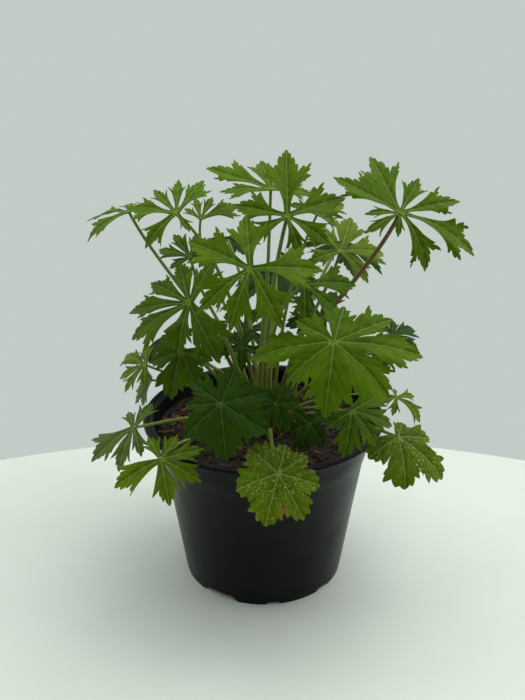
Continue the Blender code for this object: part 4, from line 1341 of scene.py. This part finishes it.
@dataclass
class NurseryPot:
    """Round nursery pot: tapered wall, flared band, rolled lip, notched foot and drain holes."""

    height: float = 122.4
    rim: float = 85.0
    foot: float = 57.8
    wall: float = 1.2
    band_drop: float = 26.4
    floor_under: float = 5.2
    floor_top: float = 6.8
    boss: float = 15.0
    sides: int = 144
    notch_step: float = 40.0
    notch_first: float = -33.0
    notch_count: int = 9
    wide_notch: tuple[float, float] = (22.0, 4.6)
    slim_notch: tuple[float, float] = (8.0, 2.4)
    drain: float = 3.6
    drain_ring: float = 44.0

    def profile(self) -> list[tuple[float, float]]:
        """Half section of the pot, as radius and height.

        Returns:
            From the edge of the boss underneath, up the outside, down the inside to the floor.
        """
        band, top, rim, foot = self.height - self.band_drop, self.height, self.rim, self.foot
        thin = foot - self.wall
        return [
            (self.boss, 0.0), (self.boss + 3.0, self.floor_under), (foot - 1.6, self.floor_under),
            (foot - 1.5, 0.25), (foot - 1.2, 0.0), (foot - 0.3, 0.0), (foot, 0.3),
            (foot + 7.2, 0.5 * band), (foot + 14.5, band - 0.7), (foot + 14.8, band - 0.1),
            (foot + 15.3, band + 0.5), (foot + 15.8, band + 1.2), (foot + 17.9, band + 11.0),
            (rim - 6.5, top - 4.6), (rim - 6.2, top - 4.1), (rim - 5.4, top - 3.8),
            (rim - 1.5, top - 3.5), (rim - 0.6, top - 3.2), (rim - 0.1, top - 2.6), (rim, top - 1.9),
            (rim - 0.05, top - 1.1), (rim - 0.4, top - 0.5), (rim - 1.1, top - 0.1),
            (rim - 2.2, top), (rim - 4.0, top - 0.1), (rim - 5.4, top - 0.4), (rim - 6.4, top - 1.0),
            (rim - 7.2, top - 1.9), (rim - 7.7, top - 3.4), (thin + 15.9, band + 1.5),
            (thin + 15.4, band + 0.8), (thin + 14.7, band + 0.2), (thin + 14.3, band - 0.6),
            (thin + 1.8, self.floor_top + 1.2), (thin + 0.6, self.floor_top),
            (self.boss + 2.3, self.floor_top), (self.boss - 0.7, 1.6)]

    def shell(self) -> bpy.types.Object:
        """Pull the wall up ring by ring from a disc, over the lip and down to the floor.

        Returns:
            The pot before its notches and holes.
        """
        profile = self.profile()
        bpy.ops.object.select_all(action="DESELECT")
        bpy.ops.mesh.primitive_circle_add(vertices=self.sides, radius=profile[0][0] * MM,
                                          fill_type="TRIFAN", location=(0.0, 0.0, profile[0][1] * MM))
        pot = bpy.context.object
        pot.name = "nursery_pot"
        bpy.ops.object.mode_set(mode="EDIT")
        bpy.ops.mesh.select_mode(type="EDGE")
        bpy.ops.mesh.select_all(action="SELECT")
        bpy.ops.mesh.region_to_loop()
        for (inner, low), (outer, high) in zip(profile, profile[1:]):
            bpy.ops.mesh.extrude_edges_move(
                TRANSFORM_OT_translate={"value": (0.0, 0.0, (high - low) * MM)})
            size = outer / inner
            bpy.ops.transform.resize(value=(size, size, 1.0), center_override=(0.0, 0.0, high * MM))
        bpy.ops.mesh.extrude_edges_move(TRANSFORM_OT_translate={"value": (0.0, 0.0, 0.0)})
        bpy.ops.mesh.merge(type="CENTER")
        bpy.ops.mesh.select_all(action="SELECT")
        bpy.ops.mesh.normals_make_consistent(inside=False)
        bpy.ops.object.mode_set(mode="OBJECT")
        settle(pot)
        return pot

    def notch(self, angle: float, width: float, height: float) -> bpy.types.Object:
        """Shape the cutter of one foot notch: wider at the ground, with rounded upper corners.

        Args:
            angle: direction from the pot's axis in radians.
            width: width at the notch's top.
            height: height of the notch.

        Returns:
            The cutter.
        """
        out = 57.0 * MM
        bpy.ops.mesh.primitive_cube_add(size=1.0)
        cutter = bpy.context.object
        tall = height + 1.0
        cutter.scale = ((width + 2.0 * height) * MM, 14.0 * MM, tall * MM)
        cutter.location = (out * math.cos(angle), out * math.sin(angle), (0.5 * tall - 1.0) * MM)
        cutter.rotation_euler = (0.0, 0.0, angle - 0.5 * math.pi)
        select_points(cutter, points_of(cutter)[:, 2] > 0.0)
        points = width / (width + 2.0 * height)
        bpy.ops.object.mode_set(mode="OBJECT")
        shaped = points_of(cutter)
        shaped[shaped[:, 2] > 0.0, 0] *= points
        set_points(cutter, shaped)
        settle(cutter)
        select_points(cutter, points_of(cutter)[:, 2] > (height - 0.01) * MM)
        bpy.ops.mesh.bevel(offset=0.9 * MM, segments=3, affect="EDGES")
        bpy.ops.object.mode_set(mode="OBJECT")
        return cutter

    def cut(self, pot: bpy.types.Object) -> None:
        """Cut the notches in the foot and the drain holes in the floor.

        Args:
            pot: the shell, changed in place.
        """
        cutters = bpy.data.collections.new("pot cutters")
        bpy.context.scene.collection.children.link(cutters)
        made = []
        for k in range(self.notch_count):
            angle = math.radians(self.notch_first + self.notch_step * k - 90.0)
            width, height = self.wide_notch if k % 3 == 0 else self.slim_notch
            made.append(self.notch(angle, width, height))
            ring = self.drain_ring * MM
            bpy.ops.mesh.primitive_cylinder_add(
                vertices=32, radius=self.drain * MM, depth=5.6 * MM,
                location=(ring * math.cos(angle), ring * math.sin(angle), 6.0 * MM))
            made.append(bpy.context.object)
            settle(made[-1])
        for cutter in made:
            for home in list(cutter.users_collection):
                home.objects.unlink(cutter)
            cutters.objects.link(cutter)
        apply_modifier(pot, "BOOLEAN", {"operation": "DIFFERENCE", "operand_type": "COLLECTION",
                                        "collection": cutters, "solver": "EXACT"})
        for cutter in made:
            bpy.data.objects.remove(cutter, do_unlink=True)
        bpy.data.collections.remove(cutters)

    def build(self) -> bpy.types.Object:
        """Build the pot and let it stand for its CAD node.

        Returns:
            The finished pot.
        """
        pot = self.shell()
        self.cut(pot)
        dress(pot, [BlackPolypropylene().material()])
        make_active(pot)
        bpy.ops.object.shade_smooth_by_angle(angle=math.radians(32.0))
        stand_in(pot, "pot")
        return pot


# Soil

@dataclass
class PottingSoil:
    """Compost that fills the pot, crumbly on top, with bark flakes and crumbs lying on it."""

    pot: NurseryPot
    edge: float = 111.0
    mound: float = 2.4
    lump: float = 0.9
    grid: int = 120
    gap: float = 0.3
    flakes: int = 520
    crumbs: int = 900

    def radius_at(self, height: float) -> float:
        """Radius of the soil inside the pot wall at a height."""
        pot = self.pot
        band = pot.height - pot.band_drop
        low, high = (pot.foot - pot.wall + 15.9, band + 1.5), (pot.rim - 7.8, pot.height - 3.4)
        share = (height - low[1]) / (high[1] - low[1])
        return low[0] + (high[0] - low[0]) * share - self.gap

    def height_at(self, x: float, y: float) -> float:
        """Height of the soil at a spot.

        Args:
            x: millimetres to the right of the axis.
            y: millimetres behind the axis.

        Returns:
            Height in millimetres: a low mound with lumps and crumbs.
        """
        share = min(1.0, (x * x + y * y) / 5800.0)
        lumps = math.sin(x / 6.1 + 1.0) * math.cos(y / 5.3) + 0.6 * math.sin(x / 3.9 - y / 4.7)
        broad = self.edge + self.mound * (1.0 - share) + self.lump * lumps * (1.0 - 0.7 * share)
        crumb = noise.fractal(Vector((x, y, 3.0)) / 4.2, 0.9, 2.1, 4)
        return broad + 0.9 * crumb

    def body(self) -> bpy.types.Object:
        """Shape the soil from a grid: cut round, heaved up, and drawn down along the pot wall.

        Returns:
            The closed body of soil.
        """
        pot = self.pot
        edge = self.radius_at(self.edge)
        bpy.ops.object.select_all(action="DESELECT")
        bpy.ops.mesh.primitive_grid_add(x_subdivisions=self.grid, y_subdivisions=self.grid,
                                        size=2.04 * edge * MM)
        soil = bpy.context.object
        soil.name = "potting_soil"
        reach = np.hypot(*points_of(soil)[:, :2].T)
        select_points(soil, reach > edge * MM)
        bpy.ops.mesh.delete(type="VERT")
        bpy.ops.mesh.select_mode(type="EDGE")
        bpy.ops.mesh.select_all(action="SELECT")
        bpy.ops.mesh.region_to_loop()
        bpy.ops.object.mode_set(mode="OBJECT")
        chosen = np.zeros(len(soil.data.vertices), dtype=bool)
        soil.data.vertices.foreach_get("select", chosen)
        points = points_of(soil)
        reach = np.hypot(points[:, 0], points[:, 1])
        points[chosen, :2] *= (edge * MM / reach[chosen])[:, None]
        points[:, 2] = [self.height_at(x / MM, y / MM) * MM for x, y in points[:, :2]]
        points[chosen, 2] = self.edge * MM
        set_points(soil, points)
        bpy.ops.object.mode_set(mode="EDIT")
        thin = pot.foot - pot.wall - self.gap
        band = pot.height - pot.band_drop
        rings = [(edge, self.edge), (thin + 15.9, band + 1.7), (thin + 14.5, band + 0.5),
                 (thin + 1.8, pot.floor_top + 1.5), (thin + 0.6, pot.floor_top + 0.4)]
        for (inner, high), (outer, low) in zip(rings, rings[1:]):
            bpy.ops.mesh.extrude_edges_move(TRANSFORM_OT_translate={"value": (0.0, 0.0, (low - high) * MM)})
            size = outer / inner
            bpy.ops.transform.resize(value=(size, size, 1.0), center_override=(0.0, 0.0, low * MM))
        bpy.ops.mesh.edge_face_add()
        bpy.ops.mesh.select_all(action="SELECT")
        bpy.ops.mesh.normals_make_consistent(inside=False)
        bpy.ops.mesh.quads_convert_to_tris()
        bpy.ops.object.mode_set(mode="OBJECT")
        settle(soil)
        bpy.ops.object.shade_smooth_by_angle(angle=math.radians(60.0))
        dress(soil, [DampCompost().material()])
        return soil

    def pattern(self, kind: str, seed: int) -> bpy.types.Object:
        """Model one flake or crumb to copy from.

        Args:
            kind: "flake" or "crumb".
            seed: what its dents are drawn from.

        Returns:
            The shape, about 1 mm across, at the origin.
        """
        bpy.ops.object.select_all(action="DESELECT")
        if kind == "flake":
            bpy.ops.mesh.primitive_cube_add(size=1.0)
            shape = bpy.context.object
            shape.scale = (0.42, 1.0, 0.16)
            settle(shape)
            bpy.ops.object.mode_set(mode="EDIT")
            bpy.ops.mesh.subdivide(number_cuts=1)
        else:
            bpy.ops.mesh.primitive_ico_sphere_add(subdivisions=2, radius=0.5)
            shape = bpy.context.object
            bpy.ops.object.mode_set(mode="EDIT")
        bpy.ops.mesh.select_all(action="SELECT")
        bpy.ops.transform.vertex_random(offset=0.09, seed=seed)
        bpy.ops.mesh.quads_convert_to_tris()
        bpy.ops.object.mode_set(mode="OBJECT")
        return shape

    def scatter(self, name: str, kind: str, count: int, sizes: tuple[float, float], seed: int,
                reds: Callable[[float, float, random.Random], float]) -> bpy.types.Object:
        """Lay copies of a few shapes over the soil.

        Args:
            name: the piece's name.
            kind: "flake" or "crumb".
            count: how many to lay.
            sizes: smallest and largest length in millimetres.
            seed: what places, turns and tones are drawn from.
            reds: gives the tone of a piece from its x, y and a source of draws.

        Returns:
            One object with all the copies.
        """
        draws = random.Random(seed)
        shapes = [self.pattern(kind, seed + k) for k in range(5)]
        points, faces, tones = [], [], []
        limit = self.radius_at(self.edge) - 2.0
        feet = [plan.foot for plan in LEAVES]
        while count > 0:
            reach, turn = limit * math.sqrt(draws.random()), draws.uniform(0.0, math.tau)
            x, y = reach * math.cos(turn), reach * math.sin(turn)
            if min(math.hypot(x - fx, y - fy) for fx, fy in feet) < 3.4:
                continue
            count -= 1
            size = draws.uniform(*sizes) * min(1.0, (limit + 2.0 - reach) / 3.0 + 0.4)
            tilt = Matrix.Rotation(draws.gauss(0.0, 0.35), 3, "X") @ Matrix.Rotation(draws.gauss(0.0, 0.3), 3, "Y")
            spin = Matrix.Rotation(draws.uniform(0.0, math.tau), 3, "Z") @ tilt
            shape = draws.choice(shapes)
            start = len(points)
            height = self.height_at(x, y) + size * draws.uniform(0.0, 0.12)
            spot = Vector((x, y, height)) * MM
            points += [spot + spin @ v.co * (size * MM) for v in shape.data.vertices]
            faces += [tuple(start + k for k in p.vertices) for p in shape.data.polygons]
            tones += [reds(x, y, draws)] * len(shape.data.vertices)
        for shape in shapes:
            bpy.data.objects.remove(shape, do_unlink=True)
        laid = add_mesh(name, np.array([tuple(p) for p in points]), faces)
        add_field(laid, "tone", np.array(tones))
        dress(laid, [PineBark().material()])
        return laid

    def build(self) -> list[bpy.types.Object]:
        """Build the soil and what lies on it, and let them stand for the CAD node.

        Returns:
            The finished pieces.
        """
        def flake_tone_and_painted_light(x: float, y: float, draws: random.Random) -> float:
            """Flakes are red-brown at random, and painted redder and paler at the left as painted light, where
            light falls on the soil.
            """
            # Painted light: a spot at the left where the flakes are painted redder
            near = math.exp(-((x + 56.0) ** 2 + (y - 2.0) ** 2) / 700.0)
            return min(1.0, draws.random() * 0.75 + 0.55 * near)

        def crumb_tone(x: float, y: float, draws: random.Random) -> float:
            """Crumbs are dark, with a few browner ones."""
            return draws.random() ** 3 * 0.8

        pieces = [self.body(),
                  self.scatter("bark_flakes", "flake", self.flakes, (2.4, 7.5), 71, flake_tone_and_painted_light),
                  self.scatter("compost_crumbs", "crumb", self.crumbs, (0.9, 3.0), 83, crumb_tone)]
        for piece in pieces:
            stand_in(piece, "soil")
        return pieces


# Studio

@dataclass
class Studio:
    """Round pale table top, soft light all round, and the camera."""

    table_radius: float = 685.0
    table_centre: tuple[float, float] = (-2.0, -497.0)
    table_thick: float = 18.0
    camera_at: tuple[float, float, float] = (-0.64, -572.02, 410.58)
    pitch: float = 22.8
    lens: float = 46.286

    def table(self) -> list[bpy.types.Object]:
        """Make the table top, and past it an edge band painted grey as painted shade along the table's far edge.

        Returns:
            The stage pieces.
        """
        made = []
        for name, radius, top, thick, tint in (
                ("table_top", self.table_radius, 0.0, self.table_thick, "#dde1dc"),
                # Painted shade: a grey ring standing in for the shade line along the table's far edge
                ("table_edge", self.table_radius + 5.0, -4.0, 40.0, "#8d918c")):
            bpy.ops.object.select_all(action="DESELECT")
            bpy.ops.mesh.primitive_cylinder_add(
                vertices=256, radius=radius * MM, depth=thick * MM,
                location=(self.table_centre[0] * MM, self.table_centre[1] * MM, (top - 0.5 * thick) * MM))
            board = bpy.context.object
            board.name = name
            settle(board)
            dress(board, [MattBoard(name + " paint", tint).material()])
            bpy.ops.object.shade_smooth_by_angle(angle=math.radians(40.0))
            made.append(board)
        return made

    def world(self) -> None:
        """Light everything from a pale surround: bright above, darker in front of the pot."""
        world = bpy.data.worlds.new("soft surround")
        bpy.context.scene.world = world
        world.use_nodes = True
        tree = world.node_tree
        tree.nodes.clear()
        way = add_node(tree, "ShaderNodeTexCoord")
        axes = add_node(tree, "ShaderNodeSeparateXYZ", {}, {"Vector": way.outputs["Generated"]})
        front = add_node(tree, "ShaderNodeMapRange", {"interpolation_type": "SMOOTHSTEP",
                                                      "From Min": -0.75, "From Max": 0.15,
                                                      "To Min": 0.22, "To Max": 1.0},
                         {"Value": axes.outputs["Y"]})
        above = add_node(tree, "ShaderNodeMapRange", {"interpolation_type": "SMOOTHSTEP",
                                                      "From Min": 0.05, "From Max": 0.8,
                                                      "To Min": 0.0, "To Max": 0.6},
                         {"Value": axes.outputs["Z"]})
        # Soft shade just above the far edge of the table
        low = add_node(tree, "ShaderNodeMapRange", {"interpolation_type": "SMOOTHSTEP",
                                                    "From Min": -0.528, "From Max": -0.500,
                                                    "To Min": 0.40, "To Max": 1.0},
                       {"Value": axes.outputs["Z"]})
        lit = add_node(tree, "ShaderNodeMath", {"operation": "ADD"},
                       {0: front.outputs["Result"], 1: above.outputs["Result"]})
        strength = add_node(tree, "ShaderNodeMath", {"operation": "MULTIPLY"},
                            {0: lit.outputs["Value"], 1: low.outputs["Result"]})
        glow = add_node(tree, "ShaderNodeBackground", {"Color": linear("#c3cbc6")},
                        {"Strength": strength.outputs["Value"]})
        add_node(tree, "ShaderNodeOutputWorld", {}, {"Surface": glow.outputs["Background"]})

    def lamps(self) -> None:
        """Hang large soft lamps over the table."""
        for name, power, size, spot, aim in (
                ("overhead softbox", 7.5, 1.1, (0.35, 0.25, 1.25), (0.0, 0.0, 0.1)),
                ("left softbox", 1.8, 0.9, (-1.0, 0.15, 0.75), (0.0, 0.0, 0.12)),
                ("right softbox", 2.6, 0.9, (1.0, 0.05, 0.7), (0.0, 0.0, 0.12))):
            data = bpy.data.lights.new(name, "AREA")
            data.energy, data.size = power, size
            data.color = linear("#fbfff8")[:3]
            lamp = bpy.data.objects.new(name, data)
            bpy.context.scene.collection.objects.link(lamp)
            lamp.location = spot
            lamp.rotation_euler = (Vector(aim) - Vector(spot)).to_track_quat("-Z", "Y").to_euler()

    def camera(self) -> None:
        """Stand the camera where the photograph was taken from."""
        data = bpy.data.cameras.new("camera")
        data.sensor_width, data.lens = 36.0, self.lens
        data.clip_start, data.clip_end = 0.02, 20.0
        camera = bpy.data.objects.new("camera", data)
        bpy.context.scene.collection.objects.link(camera)
        camera.location = Vector(self.camera_at) * MM
        camera.rotation_euler = (math.radians(90.0 - self.pitch), 0.0, 0.0)
        bpy.context.scene.camera = camera

    def build(self) -> None:
        """Set up the stage, the light and the camera."""
        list(self.table())
        self.world()
        self.lamps()
        self.camera()
        bpy.context.scene.view_settings.view_transform = "Standard"


def main() -> None:
    """Build the pot, the soil, every leaf and the studio, in that order."""
    logging.basicConfig(level=logging.INFO, format="%(name)s: %(message)s")
    pot = NurseryPot()
    pieces = [pot.build(), *PottingSoil(pot).build()]
    for number, plan in enumerate(LEAVES):
        pieces.append(DelphiniumLeaf(plan, number).build())
    for piece in pieces:
        LOG.info("%s: %d faces", piece.name, len(piece.data.polygons))
    Studio().build()


if __name__ == "__main__":
    main()
